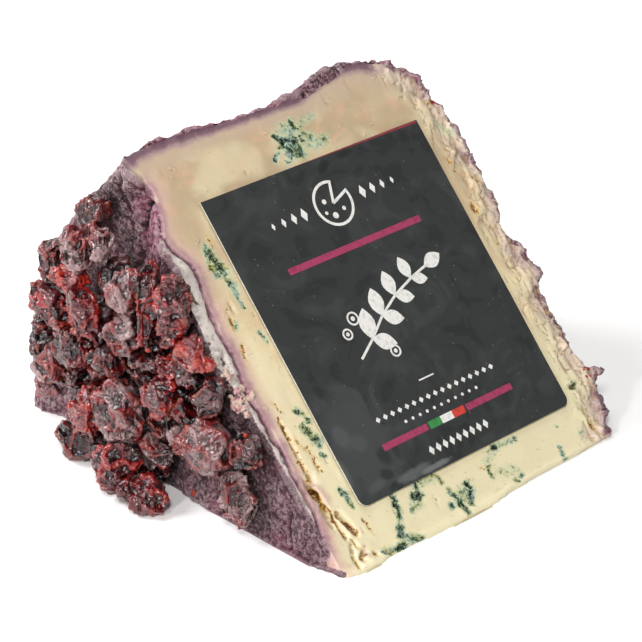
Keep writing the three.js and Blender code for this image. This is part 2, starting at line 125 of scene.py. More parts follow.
# Ochre to rust-brown veins and pits on the upper cut, in the same form
OCHRE = [
    ((13.4, 91.8), (13.0, 88.6), 0.5, 0.9), ((7.8, 72.6), (7.6, 69.4), 0.4, 0.9),
    ((7.5, 69.4), (7.2, 67.2), 0.8, 1.0), ((6.8, 63.2), (6.0, 58.6), 0.4, 0.85),
    ((6.4, 58.0), (5.6, 54.4), 0.4, 0.7), ((6.6, 46.8), (8.4, 43.2), 0.6, 0.8),
    ((6.2, 42.2), (6.4, 25.0), 0.55, 0.95), ((5.4, 30.4), (5.9, 24.0), 0.45, 0.8),
    ((9.8, 33.0), (10.2, 26.0), 0.6, 0.9), ((8.0, 35.8), (8.8, 32.8), 1.0, 0.7),
    ((5.4, 22.9), (7.3, 14.7), 0.8, 1.1), ((6.9, 14.5), (7.9, 8.4), 0.6, 1.0),
    ((8.8, 15.4), (11.3, 7.9), 0.6, 1.0), ((9.1, 7.4), (9.5, 4.8), 0.5, 0.9),
    ((7.2, 3.8), (6.6, 0.6), 0.5, 0.9), ((14.8, 10.8), (15.8, 6.3), 0.5, 0.85),
    ((16.6, 2.2), (17.4, 0.4), 0.7, 0.7), ((56.0, 8.8), (56.8, 8.2), 0.7, 0.8),
    ((97.0, 7.4), (97.8, 4.6), 0.9, 0.95), ((97.4, 10.8), (97.5, 9.0), 0.6, 0.8),
    ((98.6, 12.8), (98.8, 11.6), 0.6, 0.75), ((104.0, 15.4), (104.4, 14.6), 0.6, 0.8),
    ((98.9, 89.6), (99.4, 88.8), 0.8, 0.8), ((96.9, 86.8), (97.4, 85.6), 0.6, 0.9),
    ((97.4, 83.4), (97.9, 82.6), 0.6, 0.9), ((102.4, 79.0), (102.6, 77.8), 0.7, 0.95),
    ((97.2, 72.8), (97.2, 70.6), 1.0, 0.9), ((98.0, 76.0), (98.2, 75.2), 0.5, 0.7),
    ((101.2, 65.0), (101.6, 64.2), 0.6, 0.8), ((99.2, 60.4), (99.6, 59.6), 0.7, 0.8),
    ((99.8, 45.2), (100.2, 44.4), 0.6, 0.8), ((103.5, 44.8), (103.8, 44.2), 0.5, 0.7),
    ((103.4, 38.0), (103.8, 37.4), 0.7, 0.8), ((100.5, 103.0), (103.0, 102.6), 1.0, 0.7),
]
# Torn fissures, deep enough to throw a shadow: (across, up) places, half width, depth
FISSURES = [
    ([(6.3, 41.6), (6.5, 36.2), (6.2, 30.7), (6.4, 25.1)], 0.45, 1.1),
    ([(6.6, 26.6), (6.6, 23.8)], 0.9, 1.9),
    ([(5.4, 23.6), (5.9, 21.2)], 0.8, 1.8),
    ([(5.3, 22.8), (6.1, 18.9), (7.2, 14.8), (7.9, 8.4)], 0.75, 1.5),
    ([(8.9, 15.2), (10.2, 11.4), (11.3, 7.9)], 0.55, 1.0),
    ([(9.2, 7.3), (9.4, 5.0)], 0.5, 1.0),
    ([(7.2, 3.7), (6.6, 0.7)], 0.5, 0.9),
    ([(9.6, 33.0), (10.2, 26.1)], 0.35, 0.6),
    ([(7.7, 72.3), (7.5, 67.4)], 0.3, 0.5),
    ([(6.7, 62.8), (6.0, 58.8)], 0.3, 0.5),
    ([(10.6, 3.2), (9.4, 2.6)], 0.9, 1.6),
    ([(13.2, 2.0), (13.6, 1.8)], 0.7, 1.3),
    ([(97.2, 7.2), (97.8, 4.8)], 0.7, 1.2),
    ([(97.2, 16.9), (98.8, 17.1)], 0.7, 1.3),
    ([(97.2, 72.6), (97.2, 70.8)], 0.8, 1.2),
    ([(98.7, 89.4), (99.6, 88.4)], 0.5, 0.9),
]
# Wine and berry juice on the upper cut: a pink blush where weak, maroon where strong
JUICE = [
    ((6.4, 25.0), (8.6, 18.6), 1.5, 0.75), ((1.6, 3.0), (5.0, 1.0), 2.0, 0.35),
    ((9.6, 3.8), (10.7, 3.0), 0.9, 1.3), ((10.9, 4.9), (11.2, 4.4), 0.6, 1.15),
    ((13.2, 2.1), (13.7, 1.8), 0.7, 1.3), ((2.6, 24.0), (3.6, 12.0), 1.2, 0.6),
    ((104.8, 104.4), (106.4, 103.6), 0.8, 1.1),
]
# Brown pits in the chalky layer
PITS = [
    ((0.2, 78.8), (0.5, 76.4), 0.55, 1.0), ((-1.9, 66.6), (-2.1, 65.8), 0.5, 1.0),
    ((-0.3, 61.4), (-0.5, 60.4), 0.55, 1.1), ((-2.4, 56.6), (-2.5, 55.8), 0.5, 1.0),
    ((-1.0, 54.6), (-1.1, 53.4), 0.5, 1.0), ((-0.4, 50.6), (-0.5, 49.8), 0.5, 0.9),
    ((-0.3, 81.9), (-0.2, 81.4), 0.45, 0.9), ((-0.6, 45.0), (-0.5, 44.0), 0.5, 0.9),
    ((-0.5, 34.6), (-0.4, 33.8), 0.45, 0.9), ((2.8, 70.2), (2.9, 69.4), 0.45, 0.9),
]
# Folds that the cheesecloth pressed into the berry face: (along Y, height) places, half width, depth
CLOTH_FOLDS = [
    ([(71.6, 86.3), (72.8, 77.9), (73.6, 69.4), (74.0, 59.5)], 1.5, 2.2),
    ([(79.5, 84.0), (80.5, 77.0), (79.0, 72.0)], 0.9, 1.1),
    ([(66.0, 76.0), (64.5, 68.0), (65.0, 62.0)], 0.9, 1.0),
    ([(17.7, 12.6), (18.5, 7.7), (16.7, 2.7), (17.8, 0.0)], 0.45, 1.0),
    ([(25.7, 10.3), (23.2, 7.1), (19.2, 3.0)], 0.4, 0.8),
    ([(10.0, 7.5), (6.5, 4.2)], 0.4, 0.6),
]


def ease(values, start, end):
    """0 before start, 1 past end, and smooth between them."""
    share = np.clip((values - start) / (end - start), 0, 1)
    return share * share * (3 - 2 * share)


def copy_of(node):
    """A CAD node's shape as a bmesh of its own, with its loose triangles joined."""
    shape = bmesh.new()
    shape.from_mesh(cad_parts[node].data)
    bmesh.ops.remove_doubles(shape, verts=shape.verts, dist=0.01 * MM)
    return shape


def new_piece(name, shape):
    """A new object that holds the bmesh's shape."""
    mesh = bpy.data.meshes.new(name)
    shape.to_mesh(mesh)
    shape.free()
    made = bpy.data.objects.new(name, mesh)
    bpy.context.scene.collection.objects.link(made)
    return made


def finish_with(piece, kind, **settings):
    """Adds a modifier to the piece and applies it."""
    modifier = piece.modifiers.new(kind.lower(), kind)
    for setting, value in settings.items():
        setattr(modifier, setting, value)
    bpy.context.view_layer.objects.active = piece
    bpy.ops.object.modifier_apply(modifier=modifier.name)


def read_corners(piece, what="co"):
    """The piece's corners in millimetres, or their normals, as rows of three numbers."""
    found = np.empty(len(piece.data.vertices) * 3)
    if what == "co":
        piece.data.vertices.foreach_get("co", found)
        return found.reshape(-1, 3) / MM
    piece.data.vertices.foreach_get("normal", found)
    return found.reshape(-1, 3)


def move_corners(piece, places):
    piece.data.vertices.foreach_set("co", (places * MM).ravel())
    piece.data.update()


def keep_values(piece, name, values):
    """Stores one number for each corner, for the material to read."""
    kept = piece.data.attributes.new(name, "FLOAT", "POINT")
    kept.data.foreach_set("value", values.astype(np.float32))


def scattered(places, size, seed):
    """The spots where a noise is read, so that no two seeds give the same pattern."""
    shift = Vector((seed * 7.3, seed * 3.1, seed * 5.7))
    return [Vector(place) / size + shift for place in places]


def bumps(places, size, seed):
    """Smooth noise from -1 to 1 at each place, with bumps of that size in millimetres."""
    return np.array([noise.noise(spot) for spot in scattered(places, size, seed)])


def lumps(places, *layers):
    """Bumps of several sizes together, each given as (height, size, seed) in millimetres."""
    return sum(height * bumps(places, size, seed) for height, size, seed in layers)


def ridges(places, size, seed):
    """Noise with sharp ridges and round valleys, about 0 to 1."""
    falloff, spacing, octaves, offset, gain = 0.9, 2.1, 2, 1.0, 2.0
    return np.array([
        noise.ridged_multi_fractal(spot, falloff, spacing, octaves, offset, gain)
        for spot in scattered(places, size, seed)
    ]) / 2


def shards(places, size, seed):
    """Broken facets of that size, each tilted and set at a height of its own, about -1 to 1."""
    heights = []
    for spot in scattered(places, size, seed):
        middle = noise.voronoi(spot)[1][0]
        tilt = noise.noise_vector(middle * 9.1)
        heights.append(1.4 * noise.noise(middle * 5.3) + 1.6 * (spot - middle).dot(tilt))
    return np.array(heights)


def bulge(piece):
    """How far each corner stands out from its neighbours, in millimetres: above 0 on a crest."""
    places = read_corners(piece)
    normals = read_corners(piece, "normal")
    ends = np.empty(len(piece.data.edges) * 2, int)
    piece.data.edges.foreach_get("vertices", ends)
    here, there = np.concatenate([ends.reshape(-1, 2), ends.reshape(-1, 2)[:, ::-1]]).T
    count = np.bincount(here, minlength=len(places))
    around = np.stack([
        np.bincount(here, places[there, axis], len(places)) for axis in range(3)
    ], axis=1) / count[:, None]
    return ((places - around) * normals).sum(axis=1)


def from_line(places, line):
    """How far each place lies from a line of straight stretches."""
    nearest = np.full(len(places), np.inf)
    for start, end in zip(line, line[1:]):
        start = np.array(start, float)
        run = np.array(end, float) - start
        length = max(run @ run, 1e-9)
        share = np.clip((places - start) @ run / length, 0, 1)
        away = np.linalg.norm(places - start - share[:, None] * run, axis=1)
        nearest = np.minimum(nearest, away)
    return nearest


# The CAD solid's faces, sorted by the part of the wheel that they belong to
cheese_shape = copy_of("cheese")
cut_normal = Vector((0, -math.sin(CUT_ANGLE), math.cos(CUT_ANGLE)))
# The rim starts this far from the wheel's centre line
RIM_STARTS = 100.0
# Faces smaller than this, in square millimetres, are relief in the upper cut
SMALLEST_SKIN_FACE = 2.0
sides = {"lower cut": [], "upper cut": [], "berry face": [], "base": [], "rim": [], "tip": []}
for face in cheese_shape.faces:
    middle = face.calc_center_median() / MM - WHEEL_CORNER
    if face.normal.z < -0.95 and middle.z < 0.5:
        side = "lower cut"
    elif face.normal @ cut_normal > 0.8 or face.calc_area() / MM**2 < SMALLEST_SKIN_FACE:
        side = "upper cut"
    elif face.normal.x < -0.6:
        side = "berry face"
    elif face.normal.x > 0.6:
        side = "base"
    elif math.hypot(middle.y, middle.z) > RIM_STARTS:
        side = "rim"
    else:
        side = "tip"
    sides[side].append([corner.index for corner in face.verts])
solid_corners = [corner.co / MM for corner in cheese_shape.verts]
surfaces = {side: BVHTree.FromPolygons(solid_corners, faces) for side, faces in sides.items()}


def from_side(places, side):
    """How far each place lies from one side of the CAD solid, in millimetres."""
    return np.array([surfaces[side].find_nearest(place)[3] for place in places])


def on_cut_axes(places):
    """(across, up) on the upper cut, and how far proud of it, for places in millimetres."""
    across = places[:, 0] - WHEEL_CORNER.x
    along = places[:, 1] - WHEEL_CORNER.y
    up = along * math.cos(CUT_ANGLE) + places[:, 2] * math.sin(CUT_ANGLE)
    proud = places[:, 2] * math.cos(CUT_ANGLE) - along * math.sin(CUT_ANGLE)
    return np.stack([across, up], axis=1), proud


cheese = new_piece("cheese_wedge", cheese_shape)
finish_with(cheese, "REMESH", mode="VOXEL", voxel_size=CHEESE_VOXEL * MM)

# What the floor and the label hide is flat, so it needs few faces
label_low, label_high = (np.array(corner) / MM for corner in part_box("label"))
places = read_corners(cheese)
flat, proud = on_cut_axes(places)
label_across = np.array([label_low[0], label_high[0]]) - WHEEL_CORNER.x
label_corners, _ = on_cut_axes(np.array([label_low, label_high]))
label_up = np.sort(label_corners[:, 1])
under_floor = (places[:, 2] < 0.2) & (from_side(places, "lower cut") < 0.2)
for side in ("berry face", "base", "rim", "tip"):
    under_floor &= from_side(places, side) > HIDDEN_MARGIN
under_label = np.abs(proud) < 0.4
for axis, (low, high) in enumerate((label_across, label_up)):
    under_label &= (flat[:, axis] > low + HIDDEN_MARGIN) & (flat[:, axis] < high - HIDDEN_MARGIN)
hidden = cheese.vertex_groups.new(name="hidden")
hidden.add(np.flatnonzero(under_floor | under_label).tolist(), 1.0, "REPLACE")
hidden_share = (under_floor | under_label).mean()
finish_with(cheese, "DECIMATE", vertex_group="hidden", ratio=1 - 0.97 * hidden_share)
cheese.vertex_groups.clear()

# How far each corner lies from the sides, and where it lies on the upper cut
places = read_corners(cheese)
normals = read_corners(cheese, "normal")
depth = {side: from_side(places, side) for side in surfaces}
flat, proud = on_cut_axes(places)
skin_on_cut = np.interp(flat[:, 0], *np.array(RIM_SKIN).T)
from_skin = np.minimum.reduce([
    depth["berry face"], depth["base"], depth["rim"] - skin_on_cut + 0.5 * bumps(places, 3.0, 22),
    depth["tip"] + TIP_SKIN * flat[:, 0],
])
skin = 1 - ease(from_skin, 0.25, 0.9)
cut = 1 - ease(depth["upper cut"], 0.3, 1.4)

# The skin: slow waves, lumps and a velvety grain, with folds from the cheesecloth
skin_lumps = lumps(places, (1.2, 9.0, 1), (0.7, 3.6, 2), (0.4, 1.6, 19), (0.22, 0.9, 20))
relief = skin * (skin_lumps - 1.2 * ridges(places, 9.0, 3) + 0.65)
on_berry_face = skin * (1 - ease(depth["berry face"], 0.4, 1.5))
ragged = lumps(places, (0.8, 4.0, 4), (0.4, 1.5, 5))
for line, half_width, fold_depth in CLOTH_FOLDS:
    away = from_line(places[:, 1:] - np.array(WHEEL_CORNER)[1:], line) + half_width * ragged
    relief -= on_berry_face * fold_depth * np.exp(-(away / half_width) ** 2)

# The torn, flaky strip along the base, and the base's ragged edge
torn = (1 - ease(depth["base"], 5.5, 11.5)) * cut
along_base = places * (1, 0.4, 0.4)
flakes = 0.9 * shards(along_base, 3.2, 6) + 0.35 * shards(along_base, 1.4, 18)
relief += torn * (flakes - ridges(along_base, 4.5, 7) + 0.4)
ragged_edge = (1 - ease(depth["upper cut"], 1.0, 7.0)) * (1 - ease(depth["base"], 0.5, 2.0))
relief += ragged_edge * (lumps(places, (1.0, 6.0, 8), (0.3, 2.2, 9)) + 0.4)

# The knife's faint waves on the cut, with crumbs and nicks that it left
relief += cut * lumps(places, (0.1, 11.0, 10), (0.05, 1.7, 11), (0.12, 5.0, 28))
crumbs = ease(shards(places, 1.5, 24), 0.55, 1.3) * ease(bumps(places, 9.0, 25), 0.1, 0.4)
nicks = ease(shards(places * (1, 0.3, 0.3), 1.4, 26), 0.6, 1.3) * ease(bumps(places, 11.0, 27), 0.05, 0.4)
relief += cut * (0.4 * crumbs - 0.35 * nicks)

# The chalky lip beside the berries, and a groove along the plum line
plum_up, plum_across = np.array(PLUM_LINE).T
from_plum_on_cut = flat[:, 0] - np.interp(flat[:, 1], plum_up, plum_across)
from_plum_on_cut += 1.6 * (1 - ease(flat[:, 1], 3.0, 16.0)) + 0.35 * bumps(places, 3.0, 23)
lip = cut * (1 - ease(from_plum_on_cut, -0.9, 0.1))
relief += lip * (0.55 + lumps(places, (0.9, 4.2, 12), (0.5, 1.7, 13)))
relief -= cut * 0.9 * np.exp(-((from_plum_on_cut + 0.15) / 0.55) ** 2) * ease(flat[:, 1], 6.0, 16.0)

# Streaks wander, as veins do
wandering = flat + np.stack([
    lumps(places, (0.8, 2.4, 16 + axis), (0.45, 0.9, 30 + axis)) for axis in (0, 1)
], axis=1)


def streaks(marks):
    """How strongly a list of streaks covers each corner of the upper cut."""
    cover = np.zeros(len(places))
    for start, end, spread, strength in marks:
        away = from_line(wandering, [start, end]) / spread
        cover = np.maximum(cover, strength * np.exp(-away ** 2))
    return cover * cut


# Pits in the chalk, torn fissures, and hollows where the mould is strong
pits = streaks(PITS)
relief -= 0.9 * pits
jagged = lumps(places, (0.55, 2.2, 14), (0.35, 0.9, 15))
fissure = np.zeros(len(places))
for line, half_width, torn_depth in FISSURES:
    away = from_line(flat, line) / half_width + jagged
    opening = cut * np.exp(-(np.maximum(away, 0) / 0.8) ** 2)
    fissure = np.maximum(fissure, opening)
    relief -= 0.9 * torn_depth * opening
mould = streaks(MOULD)
relief -= 0.9 * ease(mould + 0.3 * bumps(places, 1.1, 21), 0.8, 1.25)

# The floor keeps the lower cut flat
off_floor = ease(depth["lower cut"], 0.1, 0.8)
moved = places + normals * (relief * off_floor)[:, None]
moved[:, 2] = np.maximum(moved[:, 2], 0)
move_corners(cheese, moved)

# What the material reads: how far each corner lies from the plum line, the rim, the base and the
# berries, and what lies on it
berry_corners, berry_faces = [], []
for node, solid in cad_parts.items():
    if node.startswith("cranberry_"):
        first = len(berry_corners)
        berry_corners += [corner.co / MM for corner in solid.data.vertices]
        berry_faces += [[first + corner for corner in face.vertices] for face in solid.data.polygons]
berries = BVHTree.FromPolygons(berry_corners, berry_faces)
from_berries = np.array([
    berries.find_nearest(place, BERRY_SHADE_AND_STAIN_REACH)[3] or BERRY_SHADE_AND_STAIN_REACH if on_skin > 0.1 else BERRY_SHADE_AND_STAIN_REACH
    for place, on_skin in zip(places, skin)
])
from_plum_elsewhere = depth["berry face"] - PLUM_DEPTH
from_plum = cut * from_plum_on_cut + (1 - cut) * from_plum_elsewhere
kept_values = {
    "from_plum": from_plum,
    "from_rim": depth["rim"] / np.interp(flat[:, 0], *np.array(RIM_WINE).T),
    "from_base": depth["base"],
    "skin": skin,
    "mould": mould,
    "ochre": np.maximum(0.9 * streaks(OCHRE), 0.75 * fissure),
    "juice": streaks(JUICE),
    "pits": pits,
    "up": flat[:, 1],
    # closeness to the berries, which the rind's colour turns into painted shade and juice stain
    "stain": 1 - ease(from_berries, 1.0, BERRY_SHADE_AND_STAIN_REACH),
    "crest": ease(bulge(cheese), -0.14, 0.14),
}
for name, values in kept_values.items():
    keep_values(cheese, name, values)


def linear(hex_colour, alpha=1.0):
    """An sRGB hex colour as the linear numbers that a shader takes."""
    channels = [int(hex_colour[i:i + 2], 16) / 255 for i in (1, 3, 5)]
    return [c / 12.92 if c <= 0.04045 else ((c + 0.055) / 1.055) ** 2.4 for c in channels] + [alpha]


def add_node(tree, kind, inputs=(), **settings):
    """Adds a node. Inputs are sockets by name or number, each with a value or a socket to link."""
    made = tree.nodes.new("ShaderNode" + kind)
    stops = settings.pop("stops", ())
    for setting, value in settings.items():
        setattr(made, setting, value)
    for place, (position, colour) in enumerate(stops):
        ramp = made.color_ramp.elements
        stop = ramp[place] if place < len(ramp) else ramp.new(position)
        stop.position = position
        stop.color = linear(colour)
    for socket, value in dict(inputs).items():
        if isinstance(value, bpy.types.NodeSocket):
            tree.links.new(value, made.inputs[socket])
        else:
            made.inputs[socket].default_value = value
    return made


def new_material(name, *patterns):
    """A material with no surface yet: itself, its node tree and its noise patterns.

    Each pattern is the size of its spots in millimetres, detail, roughness and distortion.
    """
    material = bpy.data.materials.new(name)
    material.use_nodes = True
    tree = material.node_tree
    tree.nodes.clear()
    coordinates = add_node(tree, "TexCoord").outputs["Object"]
    outputs = [
        add_node(
            tree, "TexNoise",
            {"Vector": coordinates, "Scale": 1 / (size * MM), "Detail": detail,
             "Roughness": roughness, "Distortion": distortion},
        ).outputs["Fac"]
        for size, detail, roughness, distortion in patterns
    ]
    return material, tree, *outputs


def shaken(tree, value, *swings):
    """A value made uneven by patterns, each with how far it swings the value either way."""
    for pattern, reach in swings:
        swing = add_node(
            tree, "MapRange",
            {"Value": pattern, "From Min": 0.25, "From Max": 0.75, "To Min": -reach, "To Max": reach},
        ).outputs["Result"]
        value = add_node(tree, "Math", {0: value, 1: swing}, operation="ADD").outputs[0]
    return value


def where(tree, *conditions):
    """1 where every condition holds, down to 0 where one fails.

    A condition is a mask, a number, or (value, start, end): 0 before start and 1 past end. The
    start may be past the end.
    """
    mask = 1.0
    for number, condition in enumerate(conditions):
        if isinstance(condition, tuple):
            value, start, end = condition
            condition = add_node(
                tree, "MapRange", {"Value": value, "From Min": start, "From Max": end},
                interpolation_type="SMOOTHSTEP",
            ).outputs["Result"]
        if number:
            condition = add_node(tree, "Math", {0: mask, 1: condition}, operation="MULTIPLY").outputs[0]
        mask = condition
    return mask


# The Mix node's two colour inputs and its colour output, by number
FIRST, SECOND, MIXED = 6, 7, 2


def lay_over(tree, under, layers):
    """Lays coats of colour over a colour, each an sRGB hex colour or a socket, and its conditions."""
    under = linear(under) if isinstance(under, str) else under
    for top, *conditions in layers:
        top = linear(top) if isinstance(top, str) else top
        under = add_node(
            tree, "Mix", {0: where(tree, *conditions), FIRST: under, SECOND: top}, data_type="RGBA"
        ).outputs[MIXED]
    return under


def thin_lines(tree, pattern, width):
    """1 on the thin, branching lines where a pattern crosses its middle."""
    off_middle = add_node(tree, "Math", {0: pattern, 1: 0.5}, operation="SUBTRACT").outputs[0]
    from_line = add_node(tree, "Math", {0: off_middle}, operation="ABSOLUTE").outputs[0]
    return where(tree, (from_line, width, width * 0.3))


def read_values(tree, names):
    """The numbers that a piece's corners keep, as sockets by their names."""
    return {name: add_node(tree, "Attribute", attribute_name=name).outputs["Fac"] for name in names}


# Soft blue paste and its washed rind. A matt, slightly waxy paste that lets a little light in,
# crumbly along its veins, and a dull velvety skin whose grain shows as dark pits.
paste, tree, clouds, patches, veins, specks, grain = new_material(
    "blue cheese paste and wine-washed rind",
    (16.0, 3, 0.5, 0.4), (6.0, 4, 0.6, 0.8), (2.0, 4, 0.62, 1.2), (0.75, 3, 0.6, 0.5), (0.42, 2, 0.6, 0.0),
)
kept = read_values(tree, kept_values)

# The paste: tan towards the rim, paler towards the tip, cloudy
ripeness = where(tree, (shaken(tree, kept["up"], (clouds, 14.0)), 8.0, 112.0))
cream = add_node(
    tree, "ValToRGB", {"Fac": ripeness},
    stops=[(0.0, "#e6dbb5"), (0.5, "#e0cda5"), (0.85, "#cbb692"), (1.0, "#bda888")],
).outputs["Color"]
plum_edge = shaken(tree, kept["from_plum"], (patches, 0.9), (veins, 0.35))
rim_edge = shaken(tree, kept["from_rim"], (patches, 0.16), (veins, 0.06))
base_edge = shaken(tree, kept["from_base"], (patches, 2.2), (veins, 1.2))
skin_edge = shaken(tree, kept["skin"], (specks, 0.25))
off_edges = where(tree, (rim_edge, 0.6, 1.0), (plum_edge, 0.6, 2.0))
mould_core = shaken(tree, kept["mould"], (veins, 0.42), (specks, 0.25), (grain, 0.08))
ochre_core = shaken(tree, kept["ochre"], (veins, 0.22), (specks, 0.3))
pit_edge = shaken(tree, kept["pits"], (specks, 0.2))
cracks = add_node(
    tree, "Math", {0: thin_lines(tree, veins, 0.045), 1: thin_lines(tree, patches, 0.025)},
    operation="MAXIMUM",
).outputs[0]
mould_hue = add_node(
    tree, "ValToRGB", {"Fac": patches},
    stops=[(0.42, "#8fa79c"), (0.52, "#98a680"), (0.62, "#a39c55")],
).outputs["Color"]
ochre_hue = add_node(
    tree, "ValToRGB", {"Fac": patches},
    stops=[(0.44, "#c0902f"), (0.52, "#a4702a"), (0.6, "#84431f")],
).outputs["Color"]
paste_colour = lay_over(tree, cream, [
    ("#cfab8c", (patches, 0.45, 0.7), (kept["up"], 0, 130)),
    ("#e6d9b4", (clouds, 0.55, 0.35), 0.5),
    # wine that crept in from the rind
    ("#d3b3a2", (plum_edge, 7.0, 1.5)),
    ("#ab858b", (plum_edge, 3.6, 0.8)),
    ("#6b404f", (plum_edge, 1.0, 0.1)),
    ("#c4ae96", (rim_edge, 2.2, 0.9)),
    ("#a98f8e", (rim_edge, 1.0, 0.65)),
    ("#7c5f69", (rim_edge, 0.75, 0.45)),
    ("#634854", (rim_edge, 0.45, 0.15)),
    ("#dcc8b2", (base_edge, 8.0, 2.5)),
    ("#b39b9b", (base_edge, 5.0, 1.5), (clouds, 0.42, 0.6)),
    ("#6f4353", (base_edge, 1.9, 0.4)),
    # the chalky layer between the plum line and the skin, with brown pits
    ("#cec4bc", (plum_edge, -0.1, -0.7)),
    ("#a59890", (plum_edge, -0.2, -0.8), (veins, 0.52, 0.62)),
    ("#6b4238", (plum_edge, -0.4, -1.0), (specks, 0.66, 0.75)),
    ("#5e4636", (pit_edge, 0.45, 0.7)),
    # juice: a pink blush, then maroon
    ("#c4a095", (kept["juice"], 0.1, 0.8), 0.6),
    ("#61172a", (kept["juice"], 0.85, 1.05)),
    # painted highlight and painted shade: paste that stands proud is painted paler, and what lies deep is
    # painted darker
    ("#efe4cb", off_edges, (kept["crest"], 0.6, 0.95), 0.28),
    ("#a98c6c", off_edges, (kept["crest"], 0.42, 0.1), 0.7),
    # mould: a wide pale halo, blue-grey to olive in it, and near-black cracks and cores
    ("#c3cba6", (kept["mould"], 0.04, 0.5), 0.8),
    (mould_hue, (mould_core, 0.2, 0.65), 0.85),
    ("#4d6b55", (specks, 0.5, 0.6), (mould_core, 0.45, 0.75)),
    ("#1a3526", cracks, (mould_core, 0.5, 0.7)),
    ("#0f2018", (mould_core, 0.9, 1.02)),
    # ochre veins: a yellow halo, then gold to rust, and brown pits
    ("#dcbd74", (kept["ochre"], 0.15, 0.7), 0.6),
    (ochre_hue, (ochre_core, 0.62, 0.82), 0.9),
    ("#6e3f18", cracks, (ochre_core, 0.5, 0.7)),
    ("#421d10", (ochre_core, 0.94, 1.06)),
])

# The rind: velvet with wine-red and grey patches, with a painted highlight where it stands proud and painted
# shade in its hollows
felt = shaken(tree, grain, (specks, 0.14), (veins, 0.12))
# The velvet's tone comes from its grain, nudged lighter on crests and darker in hollows as painted highlight
# and shade
velvet_tone = shaken(tree, felt, (kept["crest"], 0.1))
velvet = add_node(
    tree, "ValToRGB", {"Fac": velvet_tone},
    stops=[(0.1, "#331a21"), (0.35, "#70444f"), (0.55, "#986f78"), (0.8, "#cfb3b7")],
).outputs["Color"]
skin_colour = lay_over(tree, velvet, [
    ("#978c88", (patches, 0.5, 0.62), (velvet_tone, 0.2, 0.6), 0.5),
    ("#9a4463", (clouds, 0.48, 0.6), (velvet_tone, 0.2, 0.6), 0.75),
    # painted highlight: paler where the rind stands proud
    ("#cbb1b6", (kept["crest"], 0.55, 0.95), 0.5),
    # painted shade: near-black in the rind's hollows, in patches
    ("#26131a", (kept["crest"], 0.4, 0.1), (clouds, 0.2, 0.62)),
    ("#d9c6c8", (specks, 0.56, 0.64), (patches, 0.5, 0.6), 0.8),
    # painted shade: the rind is painted darker towards its lower part
    ("#452833", (kept["up"], 70, 20), 0.35),
    # painted shade and juice stain: dark wine-red on the rind round the berries
    ("#2c1014", kept["stain"], (velvet_tone, 1.1, 0.3)),
    ("#241216", thin_lines(tree, patches, 0.01), 0.7),
])
whole_colour = lay_over(tree, paste_colour, [(skin_colour, (skin_edge, 0.35, 0.65))])

# The grain stands up from the rind, and only a trace of it from the cut
coarse_bump = add_node(
    tree, "Bump", {"Height": felt, "Strength": 0.9, "Distance": 0.7 * MM}
).outputs["Normal"]
grain_strength = add_node(
    tree, "MapRange", {"Value": kept["skin"], "To Min": 0.08, "To Max": 0.9}
).outputs["Result"]
fine_bump = add_node(
    tree, "Bump",
    {"Height": grain, "Strength": grain_strength, "Distance": 0.4 * MM, "Normal": coarse_bump},
).outputs["Normal"]
cut_bump = add_node(
    tree, "Bump", {"Height": veins, "Strength": 0.15, "Distance": 0.3 * MM}
).outputs["Normal"]
surface_normal = add_node(
    tree, "Mix", {0: kept["skin"], 4: cut_bump, 5: fine_bump}, data_type="VECTOR"
).outputs[1]
roughness = add_node(
    tree, "MapRange", {"Value": kept["skin"], "To Min": 0.45, "To Max": 0.6}
).outputs["Result"]
shader = add_node(tree, "BsdfPrincipled", {
    "Base Color": whole_colour, "Roughness": roughness, "Normal": surface_normal, "IOR": 1.45,
    "Subsurface Weight": 0.12, "Subsurface Radius": (1.0, 0.6, 0.35), "Subsurface Scale": 1.2 * MM,
})
add_node(tree, "OutputMaterial", {"Surface": shader.outputs[0]})
cheese.data.materials.clear()
cheese.data.materials.append(paste)
cheese.data.shade_smooth()
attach(cheese, "root")
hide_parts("cheese")


# ------------------------------------------------------------------------------------------------
# The dried cranberries. Sugared and dried, each is a leathery bag with sharp creases round its
# hollows, a thin skin that glows red where light gets through, and a dusty grey bloom. They were
# pressed onto the rind by hand while it was tacky.
BERRY_SEED = 500

# The skin starts as an even mesh of this size, which is halved after each stage but the last
SKIN_MESH = 1.1
# On a small berry it's this share of the thinnest way through
FINEST_SHARE = 0.13
# Caps that fall in: how many, how deep in millimetres, and how far they turn (1 is flat, 2 inside out)
CAVES = 6
CAVE_DEPTH = (0.9, 1.9)
CAVE_TURN = (1.6, 2.1)
# Ridges: facets of this size in millimetres, how uneven they are, a ridge's height, and where it's level
FACET = 6.0
FACET_STRETCH = (0.55, 1.5)
RIDGE = 1.75
RIDGE_SHARE = 0.42
# Stages of drying, from wide folds to fine ones: slack, patch, rounds, stiffness, settle, highest
STAGES = (
    (0.28, 12.0, 40, 0.01, 0.0, 1.3),
    (0.22, 12.0, 24, 0.01, 0.0, 1.3),
    (0.28, 8.0, 22, 0.01, 0.0, 1.4),
)

# How each cranberry looks, by its node's number: a kind of skin
BERRY_KINDS = {
    "dark": (1, 4, 7, 11, 12, 13, 15, 23, 27, 28, 33),
    "red": (6, 9, 10, 17, 18, 21, 22, 26),
    "grey": (2, 3, 8, 16, 19, 20, 29, 30, 31, 32, 34),
    "bright": (5, 14, 24, 25),
}
